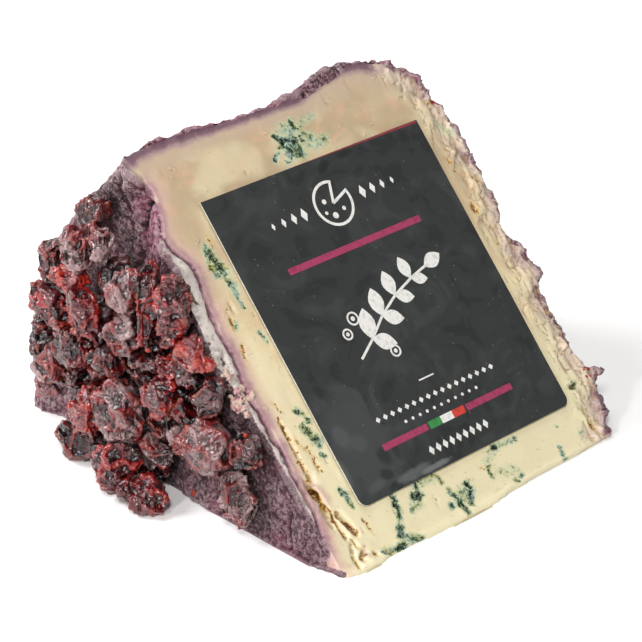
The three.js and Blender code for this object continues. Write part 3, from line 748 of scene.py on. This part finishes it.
# Of each kind: its hollows, painted near-black as shade, its skin, its folds, red with a painted glow, and a
# dusty bloom that also paints a sheen where the skin stands out, with the share that it takes
BERRY_COLOURS = {
    "dark": ("#0a0102", "#24050a", "#640a12", "#6d4144", 0.3),
    "red": ("#100203", "#430710", "#901116", "#8a494b", 0.26),
    "grey": ("#120304", "#3a1216", "#761d23", "#9b7c7c", 0.54),
    "bright": ("#1c0304", "#640a14", "#ab2519", "#a65f58", 0.24),
}
berry_skins = {}
for kind, (hollow, plain, fold, bloom_and_sheen, bloom_and_sheen_share) in BERRY_COLOURS.items():
    # Dried cranberry skin: thin, sticky and glossy with sugar, dulled by a mauve bloom
    skin_material, tree, spots, wrinkles, sugar = new_material(
        f"dried cranberry skin, {kind}", (6.5, 2, 0.5, 0.3), (0.9, 4, 0.7, 1.6), (0.35, 2, 0.7, 0.0)
    )
    kept = read_values(tree, ("crease", "lift"))
    crest = shaken(tree, kept["crease"], (wrinkles, 0.25), (sugar, 0.15))
    height = shaken(tree, kept["lift"], (wrinkles, 0.15))
    least_spot = 0.64 - 0.36 * bloom_and_sheen_share
    # The bloom lies in patches and only where the skin stands out from its creases, so it is also a painted
    # sheen there
    bloom_and_sheen_patches = where(tree, (spots, least_spot, least_spot + 0.18), (crest, -0.1, 0.55))
    raw = (spots, 0.6, 0.44)
    # painted shade: the hollow colour shows wherever the skin lies low
    berry_colour = lay_over(tree, hollow, [
        (plain, (height, -0.1, 0.25)),
        # the skin's red on its raised parts, in patches, painted brighter there as a glow of light through
        # the thin skin
        (fold, raw, (height, 0.3, 0.7)),
        (bloom_and_sheen, bloom_and_sheen_patches),
        # painted glow: orange-red on the sharpest crests
        ("#a34f36", raw, (crest, 0.8, 1.1), 0.4),
        # thin dark cracks along the fine wrinkles, in the hollows' near-black
        (hollow, thin_lines(tree, wrinkles, 0.03), 0.6),
    ])
    wrinkle_bump = add_node(
        tree, "Bump", {"Height": wrinkles, "Strength": 0.3, "Distance": 0.3 * MM}
    ).outputs["Normal"]
    sugar_bump = add_node(
        tree, "Bump",
        {"Height": sugar, "Strength": 0.15, "Distance": 0.1 * MM, "Normal": wrinkle_bump},
    ).outputs["Normal"]
    gloss = add_node(
        tree, "MapRange", {"Value": bloom_and_sheen_patches, "To Min": 0.26, "To Max": 0.5}
    ).outputs["Result"]
    shader = add_node(tree, "BsdfPrincipled", {
        "Base Color": berry_colour, "Roughness": gloss, "Normal": sugar_bump, "IOR": 1.5,
        "Specular IOR Level": 0.35,
        "Coat Weight": 1.0, "Coat Roughness": 0.05, "Coat Normal": wrinkle_bump,
        "Subsurface Weight": 0.12, "Subsurface Radius": (1.0, 0.12, 0.08),
        "Subsurface Scale": 1.0 * MM,
    })
    add_node(tree, "OutputMaterial", {"Surface": shader.outputs[0]})
    berry_skins[kind] = skin_material


def springs_of(piece):
    """The pairs of corners that the skin holds at a distance: every face's sides and diagonals."""
    sides = np.empty(len(piece.data.edges) * 2, int)
    piece.data.edges.foreach_get("vertices", sides)
    fours = np.empty(len(piece.data.loops), int)
    piece.data.loops.foreach_get("vertex_index", fours)
    fours = fours.reshape(-1, 4)
    return np.concatenate([sides.reshape(-1, 2), fours[:, ::2], fours[:, 1::2]])


def spread_evenly(springs, pulls, count, weight):
    """Adds up what each spring does to its two corners, as a mean over each corner's springs."""
    first, second = springs.T
    return np.stack([
        np.bincount(first, pulls[:, axis], count) - np.bincount(second, pulls[:, axis], count)
        for axis in range(3)
    ], axis=1) / weight[:, None]


def shrivel(piece, seed, slack, patch, rounds, stiffness, settle, highest):
    """Lets a skin that has become too big for its fruit find its own folds.

    The skin has grown by slack along a grain that turns from patch to patch, so it buckles into
    bundles of ridges, while it's drawn in onto the core beneath.
    """
    places = read_corners(piece)
    outward = read_corners(piece, "normal")
    springs = springs_of(piece)
    first, second = springs.T
    runs = places[second] - places[first]
    lengths = np.linalg.norm(runs, axis=1)
    spacing = lengths.mean()
    grain = np.array([
        noise.noise_vector(Vector(middle) / patch + Vector((seed, 0, 0)))
        for middle in (places[first] + places[second]) / 2
    ])
    grain /= np.linalg.norm(grain, axis=1)[:, None]
    across_grain = (np.einsum("ij,ij->i", runs, grain) / lengths) ** 2
    rest = lengths * (1 + slack * across_grain)
    weight = np.bincount(springs.ravel(), minlength=len(places)).astype(float)
    skin = places + outward * (0.3 * spacing * bumps(places, 2.5 * spacing, seed))[:, None]
    for _ in range(rounds):
        runs = skin[second] - skin[first]
        lengths = np.linalg.norm(runs, axis=1)
        pulls = runs * ((lengths - rest) / lengths / 2 + stiffness)[:, None]
        skin = skin + 1.6 * spread_evenly(springs, pulls, len(skin), weight)
        height = ((skin - places) * outward).sum(axis=1)
        wanted = np.clip(height - settle * spacing, -0.35 * spacing, highest * spacing)
        skin = skin + outward * (wanted - height)[:, None]
    move_corners(piece, skin)


def relief_of(piece, rounds):
    """How far each corner stands out from the skin smoothed round it, in millimetres."""
    places = read_corners(piece)
    normals = read_corners(piece, "normal")
    springs = springs_of(piece)
    weight = np.bincount(springs.ravel(), minlength=len(places)).astype(float)
    smooth = places
    for _ in range(rounds):
        runs = smooth[springs[:, 1]] - smooth[springs[:, 0]]
        smooth = smooth + spread_evenly(springs, runs, len(smooth), weight)
    return ((places - smooth) * normals).sum(axis=1)


def cave_in(piece, draw):
    """Lets the fruit's flatter sides fall in: a cap beyond a plane turns inside out, as on a dented ball."""
    places = read_corners(piece)
    middle = places.mean(axis=0)
    from_middle = places - middle
    for _ in range(CAVES):
        facings = np.array([[draw.gauss(0, 1) for _ in range(3)] for _ in range(2)])
        facings /= np.linalg.norm(facings, axis=1)[:, None]
        facing = min(facings, key=lambda facing: (from_middle @ facing).max())
        reach = from_middle @ facing
        beyond = np.maximum(reach - reach.max() + draw.uniform(*CAVE_DEPTH), 0)
        from_middle = from_middle - facing * (draw.uniform(*CAVE_TURN) * beyond)[:, None]
    move_corners(piece, middle + from_middle)


def pinch(piece, draw):
    """Draws the skin up into sharp ridges, which leave hollow facets between them."""
    places = read_corners(piece)
    shift = Vector([draw.uniform(0, 50) for _ in range(3)])
    stretch = Vector([draw.uniform(*FACET_STRETCH) for _ in range(3)])
    ridge = []
    for place in places:
        nearest, second = noise.voronoi(Vector(place) * stretch / FACET + shift)[0][:2]
        ridge.append(RIDGE_SHARE - math.sqrt(second - nearest))
    move_corners(piece, places + read_corners(piece, "normal") * (RIDGE * np.array(ridge))[:, None])


def crumple(piece, draw):
    """Dries a cranberry: its sides fall in, and its skin folds, each time half as wide as the last."""
    seed = draw.uniform(0, 50)
    for stage in STAGES:
        if stage is STAGES[-1]:
            pinch(piece, draw)
        shrivel(piece, seed, *stage)
        if stage is not STAGES[-1]:
            finish_with(piece, "SUBSURF", subdivision_type="SIMPLE", levels=1, render_levels=1)
        if stage is STAGES[0]:
            cave_in(piece, draw)
    keep_values(piece, "lift", ease(relief_of(piece, 24), -0.45, 0.45))
    keep_values(piece, "crease", ease(relief_of(piece, 4), -0.12, 0.12))


dried_berries = []
kind_of = {number: kind for kind, numbers in BERRY_KINDS.items() for number in numbers}
for node in sorted(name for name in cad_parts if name.startswith("cranberry_")):
    number = int(node.split("_")[1])
    draw = random.Random(BERRY_SEED + number)
    berry = new_piece(f"dried_{node}", copy_of(node))
    skin_mesh = min(SKIN_MESH, FINEST_SHARE * min(berry.dimensions) / MM)
    finish_with(berry, "REMESH", mode="VOXEL", voxel_size=skin_mesh * MM)
    crumple(berry, draw)
    lowest = read_corners(berry)
    lowest[:, 2] = np.maximum(lowest[:, 2], 0.05)
    move_corners(berry, lowest)
    berry.data.materials.clear()
    berry.data.materials.append(berry_skins[kind_of.get(number, "dark")])
    berry.data.shade_smooth()
    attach(berry, "root")
    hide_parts(node)
    dried_berries.append(berry)


# ------------------------------------------------------------------------------------------------
# Crumbs on the crust. Hard little seeds out of broken cranberries, flakes of their skin, and lumps
# of pink-stained paste that the knife dragged there. Each is stuck to what it lies on.
CAMERA_PLACE = Vector((-437.17, -453.91, 352.29)) * MM
SEED_PLACES = (
    (-9.0, 23.5, 34.4), (-1.0, 52.4, 2.7), (-9.0, 53.4, 29.6), (-9.0, 59.2, 44.3), (-9.0, 70.3, 41.0),
)
SEED_SIZE = (0.95, 0.72, 0.6)
CRUMB_SEED = 61
# Lumps that came loose, as a name, a place near by, size, grains and looks
LUMPS = (
    ("paste_crumb_1", (-1.5, 34.5, 36.5), 3.0, 22, "paste"),
    ("paste_crumb_2", (-1.5, 38.6, 42.4), 1.5, 10, "paste"),
    ("skin_flake_1", (102.6, 69.0, 75.4), 1.0, 6, "red"),
    ("skin_flake_2", (105.6, 12.6, 13.6), 1.5, 7, "bright"),
)
finished = [cheese] + dried_berries


def outermost(place):
    """Where the line of sight to a place in the wheel's frame first meets the wedge, or None."""
    place = (Vector(place) + WHEEL_CORNER) * MM
    sight = (place - CAMERA_PLACE).normalized()
    hits = [piece.ray_cast(CAMERA_PLACE, sight) for piece in finished]
    met = [spot for found, spot, _, _ in hits if found]
    return min(met, key=lambda spot: (spot - CAMERA_PLACE).length) / MM if met else None


# A cranberry's seed: hard, smooth and orange-red
seed_material, tree, seed_spots = new_material("cranberry seed", (0.8, 2, 0.5, 0.0))
seed_colour = lay_over(tree, "#93280f", [("#5e140c", (seed_spots, 0.5, 0.65))])
shader = add_node(tree, "BsdfPrincipled", {"Base Color": seed_colour, "Roughness": 0.25, "IOR": 1.5})
add_node(tree, "OutputMaterial", {"Surface": shader.outputs[0]})

# Stray paste: dry and crumbly, stained pink by the berries' juice
stray_paste, tree, stain = new_material("stray paste, stained with juice", (1.6, 3, 0.5, 0.0))
stray_colour = lay_over(tree, "#cdb3a2", [
    ("#b58289", (stain, 0.45, 0.62)),
    ("#7d4450", (stain, 0.6, 0.72)),
])
shader = add_node(tree, "BsdfPrincipled", {"Base Color": stray_colour, "Roughness": 0.6, "IOR": 1.45})
add_node(tree, "OutputMaterial", {"Surface": shader.outputs[0]})


def add_ball(shape, middle, half_sizes, turn):
    """Adds a round or oval ball to a bmesh, in millimetres."""
    placed = Matrix.LocRotScale(Vector(middle) * MM, turn, Vector(half_sizes) * MM)
    bmesh.ops.create_icosphere(shape, subdivisions=3, radius=1.0, matrix=placed)


def random_turn(draw):
    return Matrix.Rotation(draw.uniform(0, math.tau), 3, Vector((draw.gauss(0, 1), draw.gauss(0, 1), 1)))


draw = random.Random(CRUMB_SEED)
for number, place in enumerate(SEED_PLACES, 1):
    shape = bmesh.new()
    add_ball(shape, outermost(place), SEED_SIZE, random_turn(draw).to_quaternion())
    seed = new_piece(f"cranberry_seed_{number}", shape)
    seed.data.materials.append(seed_material)
    seed.data.shade_smooth()
    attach(seed, "root")
for name, place, size, grains, looks in LUMPS:
    shape = bmesh.new()
    for _ in range(grains):
        near_by = Vector(place) + Vector([draw.gauss(0, size / 2) for _ in range(3)])
        half_sizes = [draw.uniform(0.16, 0.42) * size for _ in range(3)]
        middle = outermost(near_by)
        if middle:
            add_ball(shape, middle, half_sizes, random_turn(draw).to_quaternion())
    lump = new_piece(name, shape)
    finish_with(lump, "REMESH", mode="VOXEL", voxel_size=0.2 * MM)
    lumpy = read_corners(lump)
    broken = 0.35 * shards(lumpy, 1.1, 40) + 0.2 * bumps(lumpy, 0.7, 41)
    move_corners(lump, lumpy + read_corners(lump, "normal") * broken[:, None])
    if looks == "paste":
        lump.data.materials.append(stray_paste)
    else:
        keep_values(lump, "lift", np.ones(len(lump.data.vertices)))
        keep_values(lump, "crease", ease(bulge(lump), -0.1, 0.1))
        lump.data.materials.append(berry_skins[looks])
    lump.data.shade_smooth()
    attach(lump, "root")


# ------------------------------------------------------------------------------------------------
# The label. A sheet of coated paper, printed charcoal all over with a satin varnish and laid on
# the upper cut. Its guillotined edge shows the white paper, and it waves a little on the paste.
LABEL_FLOAT = 0.3
LABEL_SHEET = 0.42
LABEL_ACROSS = (15.7, 93.2)
LABEL_UP = (13.2, 99.7)
LABEL_CORNER = 2.3
LABEL_MESH = 2.4
INK = 0.04


def on_cut(across, up, proud):
    """A place on the upper cut in the part's frame, in metres."""
    along = up * math.cos(CUT_ANGLE) - proud * math.sin(CUT_ANGLE)
    height = up * math.sin(CUT_ANGLE) + proud * math.cos(CUT_ANGLE)
    return (WHEEL_CORNER + Vector((across, along, height))) * MM


def sheet_wave(across, up):
    """How far the sheet lifts off its rest: slow waves, and a slight curl at its lower left corner."""
    wave = 0.09 * noise.noise(Vector((across, up, 0)) / 19)
    wave += 0.05 * noise.noise(Vector((up, across, 9)) / 8)
    curl = math.exp(-math.hypot(across - LABEL_ACROSS[0], up - LABEL_UP[0]) / 7)
    return 0.1 + wave + 0.25 * curl


def cut_to_grid(shape, spacing):
    """Cuts a flat outline along a square grid, so that it can bend."""
    for axis in (0, 1):
        reach = [corner.co[axis] for corner in shape.verts]
        line = math.ceil(min(reach) / spacing) * spacing
        normal = Vector((axis == 0, axis == 1, 0))
        while line < max(reach):
            everything = shape.verts[:] + shape.edges[:] + shape.faces[:]
            bmesh.ops.bisect_plane(shape, geom=everything, dist=1e-5, plane_co=normal * line,
                                   plane_no=normal)
            line += spacing


def lay_on_label(shape, bottom, thickness):
    """Gives a flat outline (across, up) its thickness and lays it on the cut."""
    cut_to_grid(shape, LABEL_MESH)
    top = shape.faces[:]
    bmesh.ops.recalc_face_normals(shape, faces=top)
    if top[0].normal.z < 0:
        bmesh.ops.reverse_faces(shape, faces=top)
    grown = bmesh.ops.extrude_face_region(shape, geom=top, use_keep_orig=True)["geom"]
    raised = [part for part in grown if isinstance(part, bmesh.types.BMVert)]
    bmesh.ops.translate(shape, verts=raised, vec=(0, 0, thickness))
    for corner in shape.verts:
        across, up, height = corner.co
        corner.co = on_cut(across, up, bottom + sheet_wave(across, up) + height)
    bmesh.ops.recalc_face_normals(shape, faces=shape.faces)
    return shape


def flat_outline(shape, points):
    """Adds a flat face with that outline to a bmesh."""
    return shape.faces.new([shape.verts.new((across, up, 0)) for across, up in points])


sheet = bmesh.new()
flat_outline(sheet, [(LABEL_ACROSS[0], LABEL_UP[0]), (LABEL_ACROSS[1], LABEL_UP[0]),
                     (LABEL_ACROSS[1], LABEL_UP[1]), (LABEL_ACROSS[0], LABEL_UP[1])])
lower_corners = [corner for corner in sheet.verts if corner.co.y < LABEL_UP[0] + 1]
bmesh.ops.bevel(sheet, geom=lower_corners, offset=LABEL_CORNER, affect="VERTICES", segments=6,
                profile=0.5, material=-1)
label = new_piece("label_sheet", lay_on_label(sheet, LABEL_FLOAT, LABEL_SHEET))

# Charcoal print under a satin varnish: even, with faint smudges where fingers dulled it, and
# dust that shows as pale specks
charcoal, tree, smudges = new_material("charcoal-printed coated paper, satin varnish", (13, 4, 0.55, 1.5))
coordinates = add_node(tree, "TexCoord").outputs["Object"]
in_mm = add_node(
    tree, "VectorMath", {0: coordinates, "Scale": 1 / MM}, operation="SCALE"
).outputs[0]
dust = add_node(
    tree, "TexVoronoi", {"Vector": in_mm, "Scale": 1 / 2.6, "Randomness": 1.0}
).outputs["Distance"]
# Patches on the print, as (across, up), half sizes, turn in degrees, colour, strength. The two pale streaks
# along the lower edge are a painted reflection; the others make the print paler at the lower left, with
# darker patches there and along the upper edge.
PRINT_PATCHES_AND_REFLECTIONS = (
    ((24.0, 27.0), (15.0, 17.0), 0, "#454847", 0.8),
    ((20.2, 31.4), (2.6, 3.6), 20, "#535655", 0.7), ((15.9, 23.4), (1.6, 4.4), 0, "#5a5d5c", 0.6),
    ((24.4, 28.0), (2.2, 3.0), 40, "#505352", 0.6), ((23.1, 16.4), (3.4, 1.6), 10, "#535655", 0.6),
    ((35.6, 15.3), (7.0, 1.6), 4, "#6a6d6b", 0.6), ((42.3, 14.4), (8.0, 1.0), 2, "#858885", 0.6),
    ((29.4, 22.6), (2.4, 3.2), 30, "#262828", 0.7), ((27.5, 18.1), (1.6, 2.4), 70, "#282a2a", 0.7),
    ((33.8, 22.6), (1.4, 2.8), 0, "#2b2d2d", 0.6), ((27.7, 14.6), (2.0, 1.0), 20, "#242626", 0.7),
    ((56.8, 96.8), (3.0, 1.5), 30, "#232525", 0.8), ((65.3, 98.2), (3.4, 1.2), 0, "#262828", 0.8),
    ((77.7, 97.4), (4.0, 1.4), -15, "#282a2a", 0.7), ((86.2, 96.4), (2.6, 2.4), 50, "#262828", 0.7),
    ((66.7, 92.5), (2.8, 1.6), 20, "#292b2b", 0.6), ((56.1, 91.8), (1.6, 2.4), 0, "#282a2a", 0.6),
)
rows = add_node(tree, "SeparateXYZ", {0: in_mm}).outputs
along = add_node(tree, "Math", {0: rows["Y"], 1: WHEEL_CORNER.y}, operation="SUBTRACT").outputs[0]
across = add_node(tree, "Math", {0: rows["X"], 1: WHEEL_CORNER.x}, operation="SUBTRACT").outputs[0]
raised = add_node(
    tree, "Math", {0: rows["Z"], 1: math.sin(CUT_ANGLE)}, operation="MULTIPLY"
).outputs[0]
up = add_node(
    tree, "Math", {0: along, 1: math.cos(CUT_ANGLE), 2: raised}, operation="MULTIPLY_ADD"
).outputs[0]
on_label = add_node(tree, "CombineXYZ", {"X": across, "Y": up}).outputs[0]
marks = []
for middle, half_size, turn, tone, strength in PRINT_PATCHES_AND_REFLECTIONS:
    from_mark = add_node(
        tree, "Mapping",
        {"Vector": on_label, "Location": (*middle, 0), "Rotation": (0, 0, math.radians(turn)),
         "Scale": (*half_size, 1)}, vector_type="TEXTURE",
    ).outputs[0]
    away = add_node(tree, "VectorMath", {0: from_mark}, operation="LENGTH").outputs["Value"]
    ragged_away = shaken(tree, away, (smudges, 0.35))
    marks.append((tone, (ragged_away, 1.1, 0.45), strength))
print_colour = lay_over(tree, "#343636", [
    ("#3e403f", (smudges, 0.5, 0.35)),
    ("#2b2d2d", (smudges, 0.55, 0.62)),
    # painted reflection in the two pale streaks along the lower edge, with the paler and darker patches
    *marks,
    ("#80847f", (dust, 0.07, 0.04)),
])
satin = add_node(
    tree, "MapRange",
    {"Value": smudges, "From Min": 0.35, "From Max": 0.65, "To Min": 0.3, "To Max": 0.46},
).outputs["Result"]
shader = add_node(tree, "BsdfPrincipled", {"Base Color": print_colour, "Roughness": satin, "IOR": 1.5})
add_node(tree, "OutputMaterial", {"Surface": shader.outputs[0]})
label.data.materials.append(charcoal)

# The paper's white core, seen only at the cut edge: matt and slightly fibrous
core, tree, fibres = new_material("white paper core", (0.5, 2, 0.5, 0.0))
core_colour = lay_over(tree, "#d9d6cb", [("#bdb8a8", (fibres, 0.4, 0.7))])
shader = add_node(tree, "BsdfPrincipled", {"Base Color": core_colour, "Roughness": 0.8, "IOR": 1.5})
add_node(tree, "OutputMaterial", {"Surface": shader.outputs[0]})
label.data.materials.append(core)
for face in label.data.polygons:
    face.material_index = 0 if abs(face.normal @ cut_normal) > 0.5 else 1
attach(label, "root")
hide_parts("label")

# The print: flat fields of ink, as stripes in magenta and in green, white and red, and generic
# ornaments in off-white (a wheel with a wedge out, a sprig of berries, rows of small marks).
STRIPE_UP = 74.7
STRIPE = 1.8
BAND_UP = 24.3
BAND = STRIPE * 1.15


def bar(shape, across, up, thickness):
    """A straight bar of ink from across[0] to across[1]."""
    low = up - thickness / 2
    flat_outline(shape, [(across[0], low), (across[1], low),
                         (across[1], low + thickness), (across[0], low + thickness)])


def ring(shape, middle, outer, inner, start=0.0, end=2 * math.pi, steps=40):
    """A ring of ink, or a stretch of one, as a strip of small faces."""
    turns = np.linspace(start, end, steps + 1)
    for turn, following in zip(turns, turns[1:]):
        flat_outline(shape, [
            (middle[0] + radius * math.cos(a), middle[1] + radius * math.sin(a))
            for radius, a in ((inner, turn), (outer, turn), (outer, following), (inner, following))
        ])


def spot(shape, middle, radius, squash=1.0, turn=0.0, steps=14):
    """A round or oval spot of ink."""
    points = []
    for step in range(steps):
        angle = 2 * math.pi * step / steps
        x, y = radius * math.cos(angle), radius * squash * math.sin(angle)
        points.append((middle[0] + x * math.cos(turn) - y * math.sin(turn),
                       middle[1] + x * math.sin(turn) + y * math.cos(turn)))
    flat_outline(shape, points)


def diamond(shape, middle, half_width, half_height):
    flat_outline(shape, [(middle[0] - half_width, middle[1]), (middle[0], middle[1] - half_height),
                         (middle[0] + half_width, middle[1]), (middle[0], middle[1] + half_height)])


def leaf(shape, root, length, turn, width=0.3, steps=7):
    """A pointed leaf that grows from its root in a direction."""
    sides = []
    for sign in (1, -1):
        for step in (range(steps + 1) if sign > 0 else range(steps - 1, 0, -1)):
            along = step / steps
            x, y = length * along, sign * length * width * math.sin(math.pi * along) ** 0.9
            sides.append((root[0] + x * math.cos(turn) - y * math.sin(turn),
                          root[1] + x * math.sin(turn) + y * math.cos(turn)))
    flat_outline(shape, sides)


magenta_ink, green_ink, white_ink, red_ink, red_edge = (bmesh.new() for _ in range(5))
for shape, across, up, thickness in (
    (magenta_ink, (30.3, 77.7), STRIPE_UP, STRIPE), (magenta_ink, (30.5, 46.5), BAND_UP, STRIPE),
    (magenta_ink, (60.9, 78.0), BAND_UP, STRIPE), (green_ink, (47.1, 51.5), BAND_UP, BAND),
    (white_ink, (51.5, 55.8), BAND_UP, BAND), (white_ink, (51.2, 56.5), 35.9, 0.4),
    (red_ink, (55.8, 60.2), BAND_UP, BAND),
):
    bar(shape, across, up, thickness)

# a wheel with a wedge drawn out of it, between two rows of diamonds
WHEEL = (54.0, 87.0)
WHEEL_SIZE = 6.4
WEDGE_FROM, WEDGE_TO = math.radians(20), math.radians(70)
ring(white_ink, WHEEL, WHEEL_SIZE, WHEEL_SIZE - 0.8, WEDGE_TO, 2 * math.pi + WEDGE_FROM)
for angle in (WEDGE_FROM, WEDGE_TO):
    side = Vector((math.cos(angle), math.sin(angle)))
    across_side = Vector((-side.y, side.x)) * 0.4
    middle = Vector(WHEEL)
    flat_outline(white_ink, [middle - across_side, middle + side * WHEEL_SIZE - across_side,
                             middle + side * WHEEL_SIZE + across_side, middle + across_side])
for place, size in (((-2.6, 1.2), 0.7), ((-1.2, -3.2), 0.9), ((2.4, -2.2), 0.6), ((-3.6, -1.8), 0.5)):
    spot(white_ink, (WHEEL[0] + place[0], WHEEL[1] + place[1]), size)
for side in (-1, 1):
    for step in range(4):
        reach = side * (10.5 + 3.6 * step)
        diamond(white_ink, (WHEEL[0] + reach, WHEEL[1]), 1.1 - 0.18 * step, 1.9 - 0.3 * step)

# a sprig: a curved stem, pairs of leaves and three berries
STEM = [(38.0, 47.0), (44.0, 50.5), (50.5, 55.0), (57.5, 58.5), (65.0, 61.0), (71.0, 62.4)]
for start, end in zip(STEM, STEM[1:]):
    run = (Vector(end) - Vector(start)).normalized() * 0.1
    across_run = Vector((-run.y, run.x)) * 3.5
    flat_outline(white_ink, [Vector(start) - run - across_run, Vector(end) + run - across_run,
                             Vector(end) + run + across_run, Vector(start) - run + across_run])
for number, (across, up) in enumerate(STEM[1:-1]):
    leaf(white_ink, (across, up), 8.6 - 0.7 * number, math.radians(78 + 6 * number))
    leaf(white_ink, (across, up), 7.6 - 0.7 * number, math.radians(-28 + 3 * number))
leaf(white_ink, STEM[-1], 7.0, math.radians(14))
for across, up, size in ((41.5, 57.4, 1.9), (37.6, 54.2, 1.6), (49.0, 45.4, 1.7)):
    ring(white_ink, (across, up), size, size - 0.5)
    spot(white_ink, (across, up), size * 0.35)

# rows of small marks where a label has its small print
for step in range(17):
    diamond(white_ink, (33.2 + 2.6 * step, 31.2), 0.8, 0.8)
for step in range(11):
    spot(white_ink, (41.0 + 2.6 * step, 27.9), 0.45)
for step in range(9):
    diamond(white_ink, (44.0 + 2.5 * step, 18.4), 0.9, 1.3)

# the narrow red strip at the upper edge
flat_outline(red_edge, [(47.4, 99.6), (92.9, 98.9), (92.9, 99.65)])

# Offset ink on coated paper: thin, even and as satin as the varnish over it
INKS = (
    ("magenta", magenta_ink, "#a33f60", "#8f3352"),
    ("green", green_ink, "#3f8a4a", "#357540"),
    ("white", white_ink, "#e8e6e0", "#d2d0ca"),
    ("red", red_ink, "#d0453a", "#b33a31"),
    ("edge_red", red_edge, "#8f3a44", "#7a3039"),
)
for name, shape, colour, worn in INKS:
    printed = new_piece(f"label_print_{name}", lay_on_label(shape, LABEL_FLOAT + LABEL_SHEET, INK))
    ink, tree, wear = new_material(f"offset ink, {name}", (1.2, 3, 0.5, 0.0))
    ink_colour = lay_over(tree, colour, [(worn, (wear, 0.45, 0.7))])
    shader = add_node(tree, "BsdfPrincipled", {"Base Color": ink_colour, "Roughness": 0.38, "IOR": 1.5})
    add_node(tree, "OutputMaterial", {"Surface": shader.outputs[0]})
    printed.data.materials.append(ink)
    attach(printed, "root")


# ------------------------------------------------------------------------------------------------
# The set: a plain pale floor, and soft studio light from above, behind and the left. The camera
# stands at the photo's angle.
FLOOR_HALF = 3.0
floor_shape = bmesh.new()
bmesh.ops.create_grid(floor_shape, x_segments=1, y_segments=1, size=FLOOR_HALF)
floor = new_piece("floor", floor_shape)
pale, tree = new_material("pale studio floor")
shader = add_node(tree, "BsdfPrincipled", {"Base Color": linear("#fbfaf9"), "Roughness": 0.9, "IOR": 1.45})
add_node(tree, "OutputMaterial", {"Surface": shader.outputs[0]})
floor.data.materials.append(pale)

world = bpy.data.worlds.new("studio")
bpy.context.scene.world = world
world.use_nodes = True
world.node_tree.nodes["Background"].inputs["Color"].default_value = linear("#ffffff")
world.node_tree.nodes["Background"].inputs["Strength"].default_value = 0.15

TARGET = Vector((-3.99, -4.5, 33.92)) * MM
# Each light: name, place in metres, size in metres, power in watts
LIGHTS = (
    ("key", (-0.7, -0.6, 0.93), 0.26, 8.6),
    ("top", (0.12, 0.4, 1.25), 0.7, 8.0),
    ("back", (-0.6, 0.75, 0.7), 0.36, 10.0),
    ("glint", (-0.95, -0.25, 0.45), 0.12, 4.2),
)
for name, place, size, power in LIGHTS:
    lamp = bpy.data.lights.new(name, "AREA")
    lamp.size = size
    lamp.energy = power
    light = bpy.data.objects.new(name, lamp)
    light.location = place
    light.rotation_mode = "QUATERNION"
    light.rotation_quaternion = (TARGET - Vector(place)).to_track_quat("-Z", "Y")
    bpy.context.scene.collection.objects.link(light)

lens = bpy.data.cameras.new("camera")
lens.lens = 150
lens.sensor_width = 36
camera = bpy.data.objects.new("camera", lens)
camera.location = CAMERA_PLACE
camera.rotation_mode = "QUATERNION"
camera.rotation_quaternion = (TARGET - CAMERA_PLACE).to_track_quat("-Z", "Y")
bpy.context.scene.collection.objects.link(camera)
bpy.context.scene.camera = camera
bpy.context.scene.view_settings.view_transform = "Standard"
